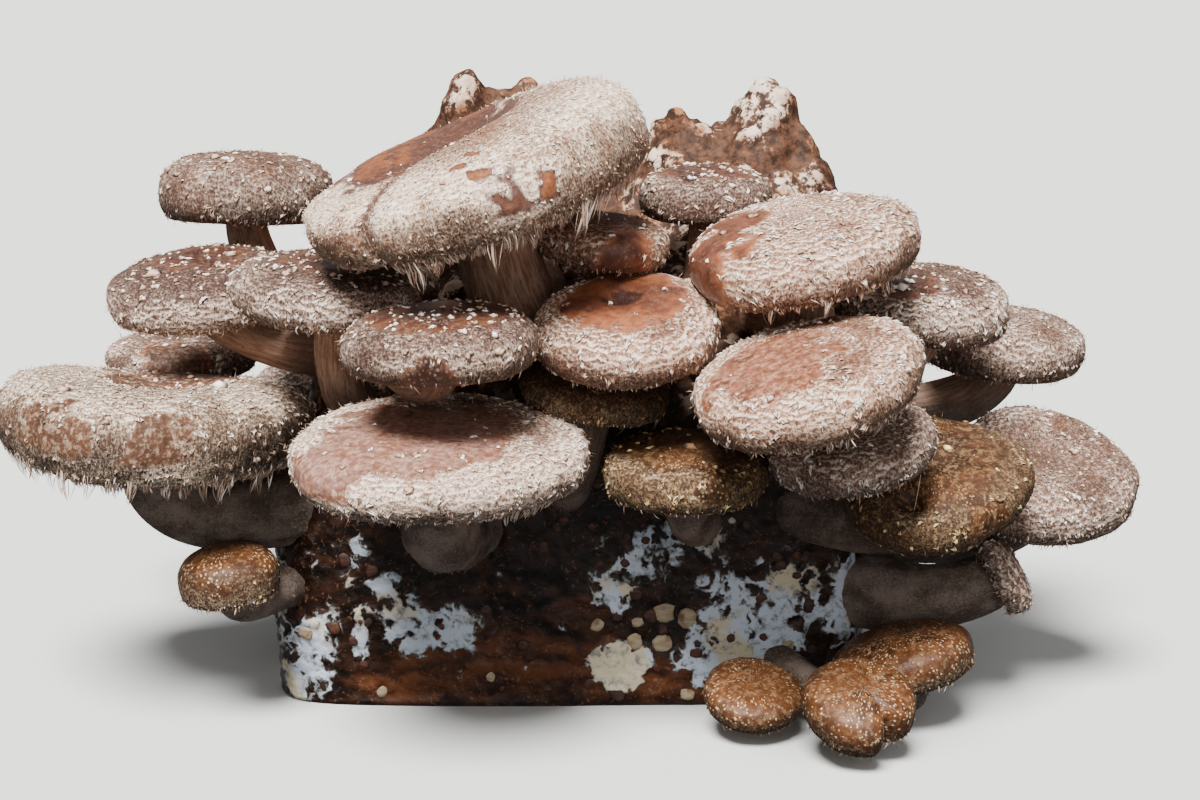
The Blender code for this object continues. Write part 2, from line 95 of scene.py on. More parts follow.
# One row per mushroom, with the CAD's values first. style: its finish. bare: patches of smooth
# skin, as x, y, z and radius in cap radii, which end above the lip unless it has a smooth_lip.
# flakes: share of the crown's places that hold one. cover: how thickly scales grow at the crown,
# the shoulder, the side and the lip. size: of its scales. comb: 1 for scales that all lie
# downwards. dents: x, y, radius and depth in cap radii. crease: angle, depth and width of a sharp
# fold. teeth: points of torn veil, as a count, a length in mm and the two angles they hang between.
MUSHROOMS = [
    dict(place="far_left_wide", centre=(-0.129, -0.062, 0.092), diameter=0.097, thickness=0.60,
         lean=(-6, 4), root=(-0.086, -0.046, 0.063), stem=0.020, dip=0.40, saddle=0.05, wave=0.03,
         style="russet", bare=[(0.1, 0.3, 0.1, 0.55), (-0.45, -0.78, -0.1, 0.34), (0.15, -0.9, -0.1, 0.26)],
         flakes=0.3, cover=(0.6, 0.60, 0.12, 0.9), size=0.7, comb=0.2, teeth=(64, 8, -170, -15)),
    dict(place="front_low_wide", centre=(-0.037, -0.112, 0.094), diameter=0.086, thickness=0.40,
         lean=(6, 0), root=(-0.032, -0.054, 0.060), stem=0.021, dip=0.06, wave=0.02,
         style="mauve", bare=[(-0.12, -0.20, 0.15, 0.72), (-0.62, -0.55, 0.1, 0.42)], flakes=0.12,
         cover=(0.3, 1.0, 0.8, 0.6), size=0.8, comb=0.2, teeth=(14, 4, -60, -20)),
    dict(place="front_left_mid", centre=(-0.035, -0.118, 0.128), diameter=0.056, thickness=0.60,
         lean=(2, -2), root=(-0.050, -0.046, 0.117), stem=0.011,
         style="chestnut", bare=[(0.0, 0.0, 0.4, 0.80), (0.0, -0.9, -0.35, 0.45)], flakes=0.7,
         cover=(0.05, 0.30, 0.5, 0.1), size=0.8, comb=0.7, smooth_lip=True),
    dict(place="centre_round", centre=(0.018, -0.100, 0.129), diameter=0.055, thickness=0.62,
         lean=(17, -4), root=(0.026, -0.044, 0.121), stem=0.012, drop=0.006, dip=0.10,
         style="copper", bare=[(0.0, 0.04, 0.3, 0.70)], flakes=0.08, cover=(0.0, 1.0, 0.26, 0.45),
         size=1.0, comb=0.8, dents=[(-0.05, 0.20, 0.20, 0.13)]),
    dict(place="front_right_wide", centre=(0.068, -0.128, 0.119), diameter=0.066, thickness=0.56,
         lean=(10, -15), root=(0.042, -0.048, 0.110), stem=0.012,
         style="rose", bare=[(-0.26, -0.16, 0.22, 0.62)], flakes=0.10, cover=(0.3, 0.9, 0.45, 0.5),
         size=1.0, comb=0.6, teeth=(16, 5, -120, -20)),
    dict(place="low_centre", centre=(0.035, -0.098, 0.086), diameter=0.049, thickness=0.62,
         lean=(6, 0), root=(0.038, -0.054, 0.062), stem=0.012,
         style="golden", bare=[(0.0, 0.0, 0.4, 0.85), (0.3, -0.9, 0.0, 0.30)], flakes=0.2,
         cover=(0.1, 0.30, 0.35, 0.4), size=0.65, comb=0.4),
    dict(place="tucked_centre", centre=(0.009, -0.084, 0.108), diameter=0.045, thickness=0.55,
         lean=(6, 8), root=(-0.001, -0.054, 0.070), stem=0.011,
         style="amber", bare=[(0.0, 0.0, 0.3, 0.80)], flakes=0.0, cover=(0.0, 0.1, 0.4, 0.6),
         size=0.8, comb=0.4),
    dict(place="right_under", centre=(0.084, -0.106, 0.095), diameter=0.049, thickness=0.58,
         lean=(10, -13), root=(0.056, -0.052, 0.084), stem=0.010, drop=0.008,
         style="grey", bare=[], flakes=0.3, cover=(0.4, 0.6, 0.5, 0.5), size=0.7, comb=0.2),
    dict(place="right_low_split", centre=(0.110, -0.083, 0.079), diameter=0.060, thickness=0.58,
         lean=(26, -2), root=(0.072, -0.052, 0.064), stem=0.016, deep=0.92, wave=0.05,
         style="golden", bare=[(0.0, 0.0, 0.3, 0.80), (0.45, -0.8, 0.0, 0.34)], flakes=0.15, cover=(0.05, 0.26, 0.20, 0.2),
         size=0.8, comb=0.2, dents=[(0.1, 0.1, 0.4, 0.06), (-0.25, -0.62, 0.14, 0.12)]),
    dict(place="far_right_saddle", centre=(0.151, -0.045, 0.072), diameter=0.058, thickness=0.72,
         lean=(24, 6), root=(0.086, -0.024, 0.052), stem=0.019, dip=0.45, saddle=0.05, wave=0.05,
         style="grey", bare=[], flakes=0.2, cover=(0.25, 0.55, 0.5, 0.6), size=0.65, comb=0.3),
    dict(place="right_upper", centre=(0.110, -0.058, 0.129), diameter=0.054, thickness=0.66,
         lean=(6, 3), root=(0.078, -0.034, 0.106), stem=0.013,
         style="chestnut", bare=[(-0.3, -0.3, 0.4, 0.50)], flakes=0.7, cover=(0.15, 0.8, 0.45, 0.25),
         size=0.9, comb=0.6),
    dict(place="far_right_upper", centre=(0.144, -0.005, 0.107), diameter=0.056, thickness=0.66,
         lean=(3, 4), root=(0.080, 0.004, 0.080), stem=0.015,
         style="grey", bare=[], flakes=0.15, cover=(0.35, 0.55, 0.4, 0.3), size=0.7, comb=0.2),
    dict(place="upper_right_wide", centre=(0.069, -0.092, 0.151), diameter=0.068, thickness=0.55,
         lean=(9, -11), root=(0.056, -0.036, 0.122), stem=0.015,
         style="copper", bare=[(-0.85, -0.30, 0.0, 0.56), (-0.55, 0.2, 0.3, 0.30)], flakes=0.15,
         cover=(0.7, 0.95, 0.5, 0.35), size=1.1, comb=0.6, smooth_lip=True, teeth=(24, 5, -120, -20)),
    dict(place="top_right_small", centre=(0.043, -0.042, 0.161), diameter=0.041, thickness=0.72,
         lean=(4, 0), root=(0.036, -0.034, 0.124), stem=0.010,
         style="chestnut", bare=[(0.0, 0.0, 0.3, 0.7)], flakes=0.6, cover=(0.15, 0.4, 0.35, 0.2),
         size=0.95, comb=0.2),
    dict(place="top_centre_tucked", centre=(0.011, -0.075, 0.151), diameter=0.040, thickness=0.66,
         lean=(4, 6), root=(0.010, -0.036, 0.136), stem=0.009, drop=0.004,
         style="copper", bare=[(0.35, -0.75, 0.0, 0.46)], flakes=0.2, cover=(0.15, 0.5, 0.6, 0.4),
         size=0.95, comb=0.3, smooth_lip=True),
    dict(place="top_large_lobed", centre=(-0.027, -0.090, 0.172), diameter=0.104, thickness=0.52,
         lean=(6, -17), root=(-0.012, -0.030, 0.126), stem=0.022, lopsided=0.40, dip=0.12, wave=0.02,
         style="pale", bare=[(-0.22, 0.28, 0.3, 0.66), (0.30, -0.90, -0.14, 0.26), (0.08, -0.80, 0.12, 0.10)],
         flakes=0.04, cover=(0.2, 0.95, 0.36, 0.5), size=0.52, comb=0.4, teeth=(90, 11, -122, 5),
         dents=[(-0.45, 0.00, 0.30, 0.12), (0.0, 0.35, 0.35, 0.12)],
         crease=(231, 0.26, 20)),
    dict(place="top_left", centre=(-0.109, 0.010, 0.156), diameter=0.058, thickness=0.78,
         lean=(-3, 2), root=(-0.070, 0.004, 0.106), stem=0.013,
         style="grey", bare=[], flakes=0.4, cover=(0.2, 0.45, 0.35, 0.2), size=0.8, comb=0.2),
    dict(place="left_upper", centre=(-0.118, -0.028, 0.129), diameter=0.060, thickness=0.58,
         lean=(8, -4), root=(-0.074, -0.034, 0.110), stem=0.012, drop=0.006,
         style="chestnut", bare=[(0.0, 0.1, 0.3, 0.50)], flakes=0.7, cover=(0.05, 0.25, 0.9, 0.7),
         size=0.85, comb=0.2),
    dict(place="left_upper_front", centre=(-0.070, -0.072, 0.136), diameter=0.063, thickness=0.52,
         lean=(4, 2), root=(-0.061, -0.044, 0.094), stem=0.012,
         style="chestnut", bare=[(0.9, -0.2, 0.0, 0.35), (0.0, 0.0, 0.4, 0.5)], flakes=0.6,
         cover=(0.05, 0.45, 0.75, 0.4), size=0.85, comb=0.3),
    dict(place="left_tucked", centre=(-0.137, 0.030, 0.096), diameter=0.052, thickness=0.50,
         lean=(2, 0), root=(-0.082, 0.014, 0.072), stem=0.013,
         style="grey", bare=[(0.1, -0.8, 0.0, 0.50)], flakes=0.2, cover=(0.3, 0.5, 0.3, 0.2),
         size=0.75, comb=0.3, smooth_lip=True),
    dict(place="left_button", centre=(-0.104, -0.079, 0.048), diameter=0.031, thickness=1.00,
         lean=(4, -4), root=(-0.086, -0.052, 0.038), stem=0.010, drop=0.010,
         style="amber", bare=[(0.0, 0.0, 0.2, 1.05)], flakes=0, cover=(0.0, 0.05, 0.2, 0.8),
         size=0.55, comb=0.5),
    dict(place="bottom_right_tilted", centre=(0.104, -0.078, 0.021), diameter=0.045, thickness=0.66,
         lean=(2, -14), root=(0.088, -0.038, 0.012), stem=0.011, drop=0.020, deep=0.84,
         style="amber", bare=[(0.0, 0.0, 0.2, 1.15)], flakes=0, cover=(0.0, 0.05, 0.1, 0.4),
         size=0.5, comb=0.5),
    dict(place="bottom_right_folded", centre=(0.087, -0.109, 0.017), diameter=0.034, thickness=0.84,
         lean=(26, 4), root=(0.063, -0.054, 0.015), stem=0.008, drop=0.006, notch=(310, 0.20, 18),
         style="amber", bare=[(0.0, 0.0, 0.2, 1.15)], flakes=0, cover=(0.0, 0.04, 0.1, 0.4),
         size=0.5, comb=0.5, crease=(306, 0.30, 30)),
    dict(place="bottom_right_low", centre=(0.057, -0.088, 0.013), diameter=0.031, thickness=0.62,
         lean=(20, 4), root=(0.052, -0.054, 0.012), stem=0.008, drop=0.006,
         style="amber", bare=[(0.0, 0.0, 0.2, 1.15)], flakes=0, cover=(0.0, 0.04, 0.1, 0.3),
         size=0.5, comb=0.5),
    dict(place="right_edge_small", centre=(0.138, -0.056, 0.042), diameter=0.026, thickness=0.80,
         lean=(0, 62), root=(0.088, -0.044, 0.035), stem=0.018,
         style="grey", bare=[], flakes=0.2, cover=(0.4, 0.6, 0.6, 0.6), size=0.65, comb=0.3),
    dict(place="back_high", centre=(-0.042, 0.094, 0.126), diameter=0.062, thickness=0.60,
         lean=(-10, -4), root=(-0.040, 0.044, 0.104), stem=0.014,
         style="chestnut", bare=[(0.0, 0.2, 0.3, 0.50)], flakes=0.5, cover=(0.3, 0.8, 0.6, 0.4),
         size=0.9, comb=0.2),
    dict(place="back_left", centre=(-0.088, 0.095, 0.074), diameter=0.068, thickness=0.56,
         lean=(-8, -6), root=(-0.064, 0.050, 0.050), stem=0.016, wave=0.03,
         style="grey", bare=[(0.1, 0.3, 0.3, 0.45)], flakes=0.3, cover=(0.4, 0.8, 0.5, 0.6),
         size=0.85, comb=0.3, teeth=(16, 5, 20, 160)),
    dict(place="back_right", centre=(0.056, 0.100, 0.096), diameter=0.076, thickness=0.54,
         lean=(-8, 5), root=(0.050, 0.050, 0.070), stem=0.018, wave=0.03,
         style="copper", bare=[(0.0, 0.2, 0.3, 0.70)], flakes=0.08, cover=(0.1, 0.95, 0.6, 0.5),
         size=1.05, comb=0.3, teeth=(18, 5, 20, 160)),
    dict(place="back_low", centre=(0.004, 0.088, 0.038), diameter=0.044, thickness=0.66,
         lean=(-6, 0), root=(0.004, 0.052, 0.026), stem=0.012,
         style="amber", bare=[(0.0, 0.0, 0.3, 0.95)], flakes=0.1, cover=(0.0, 0.08, 0.15, 0.5),
         size=0.55, comb=0.5),
]


def tone(red, green, blue):
    """A colour given in screen values of 0 to 255, as linear values with alpha 1."""
    screen = np.array([red, green, blue]) / 255
    linear = np.where(screen <= 0.04045, screen / 12.92, ((screen + 0.055) / 1.055) ** 2.4)
    return (*linear.tolist(), 1.0)


# Cap finishes: bare skin, the skin near its edge, dark marks on it, the ground between the
# scales, its pale fibres, the darker lower side (partly its own colour, partly painted shade),
# then shares: dots, felt, and grit instead of gloss
CAP_STYLES = {
    "copper": (tone(92, 52, 37), tone(142, 84, 54), tone(50, 34, 32), tone(78, 49, 36), tone(220, 178, 149),
               tone(74, 51, 38), 0.10, 0.15, 0.1),
    "rose": (tone(130, 84, 64), tone(122, 73, 50), tone(78, 48, 39), tone(84, 55, 41), tone(220, 180, 152),
             tone(78, 60, 48), 0.10, 0.20, 1.0),
    "mauve": (tone(140, 104, 90), tone(122, 75, 54), tone(84, 52, 44), tone(88, 64, 51), tone(230, 200, 176),
              tone(58, 50, 43), 0.10, 0.30, 0.7),
    "chestnut": (tone(62, 37, 29), tone(100, 61, 42), tone(38, 25, 22), tone(58, 38, 31), tone(214, 182, 160),
                 tone(66, 48, 38), 0.25, 0.10, 0.2),
    "grey": (tone(82, 59, 48), tone(114, 66, 42), tone(56, 41, 34), tone(74, 54, 44), tone(206, 176, 156),
             tone(54, 44, 38), 0.20, 0.22, 0.7),
    "russet": (tone(90, 61, 46), tone(94, 61, 43), tone(58, 42, 34), tone(82, 60, 47), tone(222, 196, 168),
               tone(52, 43, 37), 0.10, 0.30, 1.0),
    "amber": (tone(98, 59, 31), tone(66, 41, 25), tone(48, 29, 18), tone(66, 43, 28), tone(196, 166, 130),
              tone(46, 35, 26), 1.0, 0.20, 0.5),
    "golden": (tone(84, 52, 31), tone(62, 41, 27), tone(38, 26, 19), tone(66, 45, 31), tone(196, 160, 112),
               tone(50, 40, 32), 0.5, 0.20, 0.6),
    "pale": (tone(132, 76, 44), tone(78, 52, 46), tone(62, 42, 38), tone(124, 80, 53), tone(238, 212, 184),
             tone(80, 54, 38), 0.04, 0.50, 0.0),
}


# Numbers

HASH_PRIMES = np.array([73856093, 19349663, 83492791])
TABLE_SIZE = 65536
RANDOM_TABLE = np.random.default_rng(7).uniform(-1.0, 1.0, TABLE_SIZE)
CORNERS = [(x, y, z) for x in (0, 1) for y in (0, 1) for z in (0, 1)]


def smooth_step(low, high, value):
    """0 below low, 1 above high, and the cubic 3t^2 - 2t^3 between them."""
    share = np.clip((value - low) / (high - low), 0.0, 1.0)
    return share * share * (3 - 2 * share)


def lattice_noise(points, seed):
    """Random values at whole coordinates, blended between them by a smooth step: -1 to 1."""
    cell = np.floor(points).astype(np.int64)
    part = points - cell
    part = part * part * (3 - 2 * part)
    total = np.zeros(points.shape[:-1])
    for corner in CORNERS:
        mixed = (cell + np.array(corner)) * HASH_PRIMES
        index = (mixed[..., 0] ^ mixed[..., 1] ^ mixed[..., 2] ^ (seed * 7919)) % TABLE_SIZE
        weight = np.prod(np.where(np.array(corner) == 1, part, 1 - part), axis=-1)
        total += RANDOM_TABLE[index] * weight
    return total


def layered_noise(points, layers, seed):
    """Lattice noise added up, each layer twice as fine and half as strong."""
    total = np.zeros(points.shape[:-1])
    for layer in range(layers):
        total += lattice_noise(points * 2 ** layer, seed + layer) * 0.5 ** layer
    return total


def cell_noise(points, seed):
    """Distance to the nearest of one random point per lattice cell: 0 at a point, about 1 far off."""
    cell = np.floor(points).astype(np.int64)
    nearest = np.full(points.shape[:-1], 9.0)
    for step in np.ndindex(3, 3, 3):
        corner = cell + np.array(step) - 1
        mixed = corner * HASH_PRIMES
        index = (mixed[..., 0] ^ mixed[..., 1] ^ mixed[..., 2] ^ (seed * 7919)) % TABLE_SIZE
        place = np.stack([RANDOM_TABLE[(index + 101 * axis) % TABLE_SIZE] for axis in range(3)], axis=-1)
        gap = corner + 0.5 + 0.45 * place - points
        nearest = np.minimum(nearest, np.sqrt((gap * gap).sum(-1)))
    return nearest


def unit(vectors):
    return vectors / np.maximum(np.linalg.norm(vectors, axis=-1, keepdims=True), 1e-12)


# Meshes


def new_piece(name, points, faces, finish, attributes=None, uv=None):
    """A mesh object at the origin, with no point below the floor. Attributes hold one value or
    vector per point."""
    mesh = bpy.data.meshes.new(name)
    points[..., 2] = np.maximum(points[..., 2], 0.0)
    mesh.from_pydata(points.reshape(-1, 3), [], faces)
    mesh.materials.append(finish)
    for label, values in (attributes or {}).items():
        is_vector = values.ndim > 1 and values.shape[-1] == 3
        kind, key = ("FLOAT_VECTOR", "vector") if is_vector else ("FLOAT", "value")
        layer = mesh.attributes.new(label, kind, "POINT")
        layer.data.foreach_set(key, np.ascontiguousarray(values, dtype=np.float32).ravel())
    if uv is not None:
        layer = mesh.uv_layers.new(name="OFBake")
        corners = np.empty(len(mesh.loops), dtype=np.int32)
        mesh.loops.foreach_get("vertex_index", corners)
        layer.data.foreach_set("uv", uv.reshape(-1, 2)[corners].astype(np.float32).ravel())
    mesh.shade_smooth()
    piece = bpy.data.objects.new(name, mesh)
    bpy.context.scene.collection.objects.link(piece)
    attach(piece, "root")
    return piece


def grid_faces(rows, columns, poles, wrap_rows=False):
    """Quads of a grid that closes round its columns, with a fan at each end if it has poles."""
    row = np.arange(rows if wrap_rows else rows - 1)[:, None]
    column = np.arange(columns)[None, :]
    below = (row + 1) % rows
    beside = (column + 1) % columns
    quads = np.stack([row * columns + column, below * columns + column,
                      below * columns + beside, row * columns + beside], axis=-1).reshape(-1, 4)
    faces = quads.tolist()
    if poles:
        first = rows * columns
        ring = np.arange(columns)
        following = (ring + 1) % columns
        last = (rows - 1) * columns
        faces += np.stack([np.full(columns, first), ring, following], axis=-1).tolist()
        faces += np.stack([np.full(columns, first + 1), last + following, last + ring], axis=-1).tolist()
    return faces


def spread(grid):
    """A grid's values in one line, with the mean of its first and last rows for the two poles."""
    flat = grid.reshape(-1, *grid.shape[2:])
    return np.concatenate([flat, grid[:1].mean(axis=1), grid[-1:].mean(axis=1)])


# Finishes


class Wire:
    """A shader socket that takes part in arithmetic: each operator adds a Math node."""

    def __init__(self, finish, socket):
        self.finish = finish
        self.socket = socket

    def math(self, operation, first, second=None):
        values = [value for value in (first, second) if value is not None]
        node = self.finish.node("ShaderNodeMath", {"operation": operation}, dict(enumerate(values)))
        return Wire(self.finish, node.outputs[0])

    def __add__(self, other):
        return self.math("ADD", self, other)

    def __sub__(self, other):
        return self.math("SUBTRACT", self, other)

    def __rsub__(self, other):
        return self.math("SUBTRACT", other, self)

    def __mul__(self, other):
        return self.math("MULTIPLY", self, other)

    def __pow__(self, other):
        return self.math("POWER", self, other)

    __radd__ = __add__
    __rmul__ = __mul__

    def between(self, low, high):
        """0 below low and 1 above high, with a smooth step between them."""
        node = self.finish.node("ShaderNodeMapRange", {"interpolation_type": "SMOOTHSTEP"},
                                {"Value": self, "From Min": low, "From Max": high})
        return Wire(self.finish, node.outputs["Result"])


class Finish:
    """One material being made. Constants go on the shader's own sockets."""

    def __init__(self, name, **constants):
        self.material = bpy.data.materials.new(name)
        self.material.use_nodes = True
        self.tree = self.material.node_tree
        self.shader = self.tree.nodes["Principled BSDF"]
        for label, value in constants.items():
            self.shader.inputs[label.replace("_", " ")].default_value = value

    def node(self, kind, settings, sockets):
        made = self.tree.nodes.new(kind)
        for label, value in settings.items():
            setattr(made, label, value)
        for label, value in sockets.items():
            self.feed(made.inputs[label], value)
        return made

    def feed(self, socket, value):
        if isinstance(value, Wire):
            self.tree.links.new(value.socket, socket)
        else:
            socket.default_value = value

    def attribute(self, label, output="Fac"):
        return Wire(self, self.node("ShaderNodeAttribute", {"attribute_name": label}, {}).outputs[output])

    def place(self):
        return Wire(self, self.node("ShaderNodeTexCoord", {}, {}).outputs["Object"])

    def stretched(self, vector, scale):
        """A vector times a scale for each axis."""
        node = self.node("ShaderNodeVectorMath", {"operation": "MULTIPLY"}, {0: vector, 1: scale})
        return Wire(self, node.outputs["Vector"])

    def moved(self, vector, shift, amount):
        """A vector pushed about by a colour, for edges that wander."""
        node = self.node("ShaderNodeVectorMath", {"operation": "MULTIPLY_ADD"},
                         {0: shift, 1: (amount, amount, amount), 2: vector})
        return Wire(self, node.outputs["Vector"])

    def noise(self, vector, scale, detail=3.0, roughness=0.55, output="Fac"):
        node = self.node("ShaderNodeTexNoise", {}, {"Vector": vector, "Scale": scale, "Detail": detail,
                                                     "Roughness": roughness})
        return Wire(self, node.outputs[output])

    def cells(self, vector, scale, output="Distance"):
        node = self.node("ShaderNodeTexVoronoi", {}, {"Vector": vector, "Scale": scale})
        return Wire(self, node.outputs[output])

    def below_middle(self, vector):
        """How far a point lies below the middle of its random cell, along the third axis."""
        middle = Wire(self, self.node("ShaderNodeTexVoronoi", {}, {"Vector": vector, "Scale": 1.0}).outputs["Position"])
        gap = self.node("ShaderNodeVectorMath", {"operation": "SUBTRACT"}, {0: vector, 1: middle})
        split = self.node("ShaderNodeSeparateXYZ", {}, {"Vector": Wire(self, gap.outputs["Vector"])})
        return Wire(self, split.outputs["Z"])

    def mix(self, share, first, second):
        """A colour from first, where share is 0, to second, where it is 1."""
        node = self.node("ShaderNodeMix", {"data_type": "RGBA"}, {0: share, 6: first, 7: second})
        return Wire(self, node.outputs[2])

    def ridges(self, vector, scale, sharpness):
        """Thin winding lines where a noise passes through its middle value."""
        level = self.noise(vector, scale, 2.0, 0.5)
        off = Wire(self, self.node("ShaderNodeMath", {"operation": "ABSOLUTE"}, {0: level - 0.5}).outputs[0])
        return 1 - (off * sharpness).between(0.0, 1.0)

    def web(self, vector, low, high):
        """Lines between random cells: 1 on a line, and 0 from the distance high on."""
        node = self.node("ShaderNodeTexVoronoi", {"feature": "DISTANCE_TO_EDGE"}, {"Vector": vector, "Scale": 1.0})
        return 1 - Wire(self, node.outputs["Distance"]).between(low, high)

    def steps(self, share, colors):
        """A ramp of equal flat bands, one for each colour."""
        node = self.node("ShaderNodeValToRGB", {}, {"Fac": share})
        ramp = node.color_ramp
        ramp.interpolation = "CONSTANT"
        while len(ramp.elements) < len(colors):
            ramp.elements.new(1.0)
        for number, (element, color) in enumerate(zip(ramp.elements, colors)):
            element.position = number / len(colors)
            element.color = color
        return Wire(self, node.outputs["Color"])

    def bump(self, height, strength, distance):
        node = self.node("ShaderNodeBump", {}, {"Height": height, "Strength": strength, "Distance": distance})
        self.feed(self.shader.inputs["Normal"], Wire(self, node.outputs["Normal"]))

    def done(self, **sockets):
        for label, value in sockets.items():
            self.feed(self.shader.inputs[label.replace("_", " ")], value)
        return self.material


def blend(share, first, second):
    """A colour between two colours, worked out here and not in the shader."""
    return tuple(a + (b - a) * share for a, b in zip(first, second))


def cap_finish(name, skin_color, edge_color, mark_color, ground_color, fibre_color, low_and_shade_color, dotting, matting,
               grit):
    """Skin of a cap: glossy or gritty and mottled where bare, elsewhere rows of overlapping
    scales with pale lower edges over felt, which turn into thin webs of fibres near the lip."""
    f = Finish(name, Specular_IOR_Level=0.32 - 0.24 * grit)
    place = f.place()
    skin = f.attribute("skin", "Vector")
    bare = f.attribute("bare")
    low = f.attribute("low")
    pit = f.attribute("pit")
    frost = f.attribute("frost")
    cloud = f.noise(place, 55, 5.0, 0.6)
    blotch = f.noise(place, 150, 4.0, 0.6)
    grain = f.noise(place, 1300, 3.0)
    speck = f.noise(place, 480, 4.0, 0.7)
    drift = f.noise(skin, 0.30, 3.0, output="Color")
    felt = f.noise(f.moved(f.stretched(skin, (1.3, 1.3, 0.8)), drift, 3.0), 1.0, 4.0, 0.7)
    streak = f.noise(f.stretched(skin, (0.7, 0.7, 0.10)), 1.0, 4.0, 0.65)
    web = f.web(f.moved(f.stretched(skin, (0.40, 0.40, 0.24)), drift, 2.0), 0.04, 0.15)
    fine_web = f.web(f.moved(f.stretched(skin, (0.95, 0.95, 0.55)), drift, 3.5), 0.06, 0.22)
    dots = 1 - f.cells(f.stretched(skin, (0.72, 0.72, 0.62)), 1.0).between(0.20, 0.36)
    below = f.below_middle(f.moved(f.stretched(skin, (0.40, 0.40, 0.56)), drift, 1.6)) + (grain - 0.5) * 0.8
    scale = below.between(-0.15, 0.20)
    tip = below.between(0.16, 0.34)
    inside = (bare + (cloud - 0.5) * 1.5 + (blotch - 0.5) * 0.8).between(0.50, 1.10)
    toned = f.mix(inside, edge_color, skin_color)
    # Random mottling, and the dents drawn darker.
    stain = ((cloud - 0.5) * 1.6 + (blotch - 0.5) * 2.0 + pit * 0.7).between(0.10, 0.45) * 0.8
    marked = f.mix(stain, toned, mark_color)
    darker = f.mix((0.5 - speck).between(0.0, 0.12) * (0.25 + 0.4 * grit), marked, mark_color)
    grained = f.mix((speck - 0.5).between(0.0, 0.12) * (0.08 + 0.5 * grit), darker,
                    blend(0.45, skin_color, fibre_color))
    dotted = f.mix(dots * (cloud * 0.7 + blotch * 0.3).between(0.42, 0.56) * dotting, grained, fibre_color)
    ground = f.mix((cloud * 0.5 + blotch * 0.4 + streak * 0.3).between(0.50, 0.75) * 0.7, ground_color,
                   blend(0.5, mark_color, edge_color))
    # Darker towards the lip: partly the skin's own darker lower side, partly painted shade.
    low_and_shaded = f.mix(low.between(0.15, 0.85), ground, low_and_shade_color)
    dusted = f.mix((0.5 - speck).between(0.0, 0.14) * 0.5, low_and_shaded, mark_color)
    downy = f.mix((grain - 0.5 + (speck - 0.5) * 0.6).between(0.0, 0.14) * 0.20, dusted, fibre_color)
    # The pale fibres turn greyer towards the lip: partly painted shade.
    pale = f.mix(low.between(0.10, 0.80), fibre_color, blend(0.55, fibre_color, low_and_shade_color))
    matted = (felt + frost * 0.25 + (streak - 0.5) * 0.5 - low * 0.12).between(0.58, 0.78) * matting
    laced = web * 0.6 + fine_web * 0.5
    hair = f.noise(f.moved(f.stretched(skin, (2.6, 2.6, 0.36)), drift, 1.2), 1.0, 2.0, 0.6)
    strand = hair.between(0.54, 0.66) * (frost + low * 0.5).between(0.2, 0.8) * low.between(0.1, 0.6) * 0.55
    dense = (frost + (felt - 0.5) * 1.8).between(0.20, 0.80)
    webbed = laced * grain.between(0.35, 0.55) * dense * (0.3 + low * 0.7) + strand
    grown = (frost * (felt * 1.7 + 0.1) - low * 0.35).between(0.15, 0.80)
    fibres = matted + webbed + scale * grown * 0.50
    covered = f.mix(fibres, downy, pale)
    netted = f.mix(tip * grown * 0.8, covered, blend(0.55, fibre_color, tone(252, 242, 230)))
    edge = (bare + (streak - 0.5) * 1.1 + (blotch - 0.5) * 0.9).between(0.15, 0.75)
    raised = (scale * 0.5 + tip * 0.6) * frost * (1 - bare) * 0.8
    relief = raised + speck * (0.15 + 0.5 * grit) + blotch * 0.4 + dots * dotting * 0.4
    f.bump(relief, 0.7, 0.9 * MM)
    return f.done(Base_Color=f.mix(edge, netted, dotted),
                  Roughness=0.80 - edge * (0.48 - 0.25 * grit) + (speck - 0.5) * 0.3)


def fibre_finish(name, root_color, colors):
    """Scales and threads: as dark as the skin where they leave it and pale at the tip, in eight
    shades side by side in the piece's map."""
    f = Finish(name, Roughness=0.75, Specular_IOR_Level=0.35)
    uv = f.node("ShaderNodeUVMap", {"uv_map": "OFBake"}, {})
    split = f.node("ShaderNodeSeparateXYZ", {}, {"Vector": Wire(f, uv.outputs["UV"])})
    across = Wire(f, split.outputs["X"])
    along = Wire(f, split.outputs["Y"])
    tip = f.steps(across, colors)
    return f.done(Base_Color=f.mix(along.between(0.0, 0.45), root_color, tip))


def gill_finish():
    """Gills: cream edges with tan, shaded folds between them."""
    f = Finish("gill_plates", Roughness=0.7, Specular_IOR_Level=0.3)
    ridge = f.attribute("ridge")
    cloud = f.noise(f.place(), 160, 3.0)
    worn = f.mix(cloud.between(0.4, 0.7), tone(214, 192, 166), tone(168, 130, 100))
    return f.done(Base_Color=f.mix(ridge.between(0.1, 0.9), tone(120, 88, 66), worn))


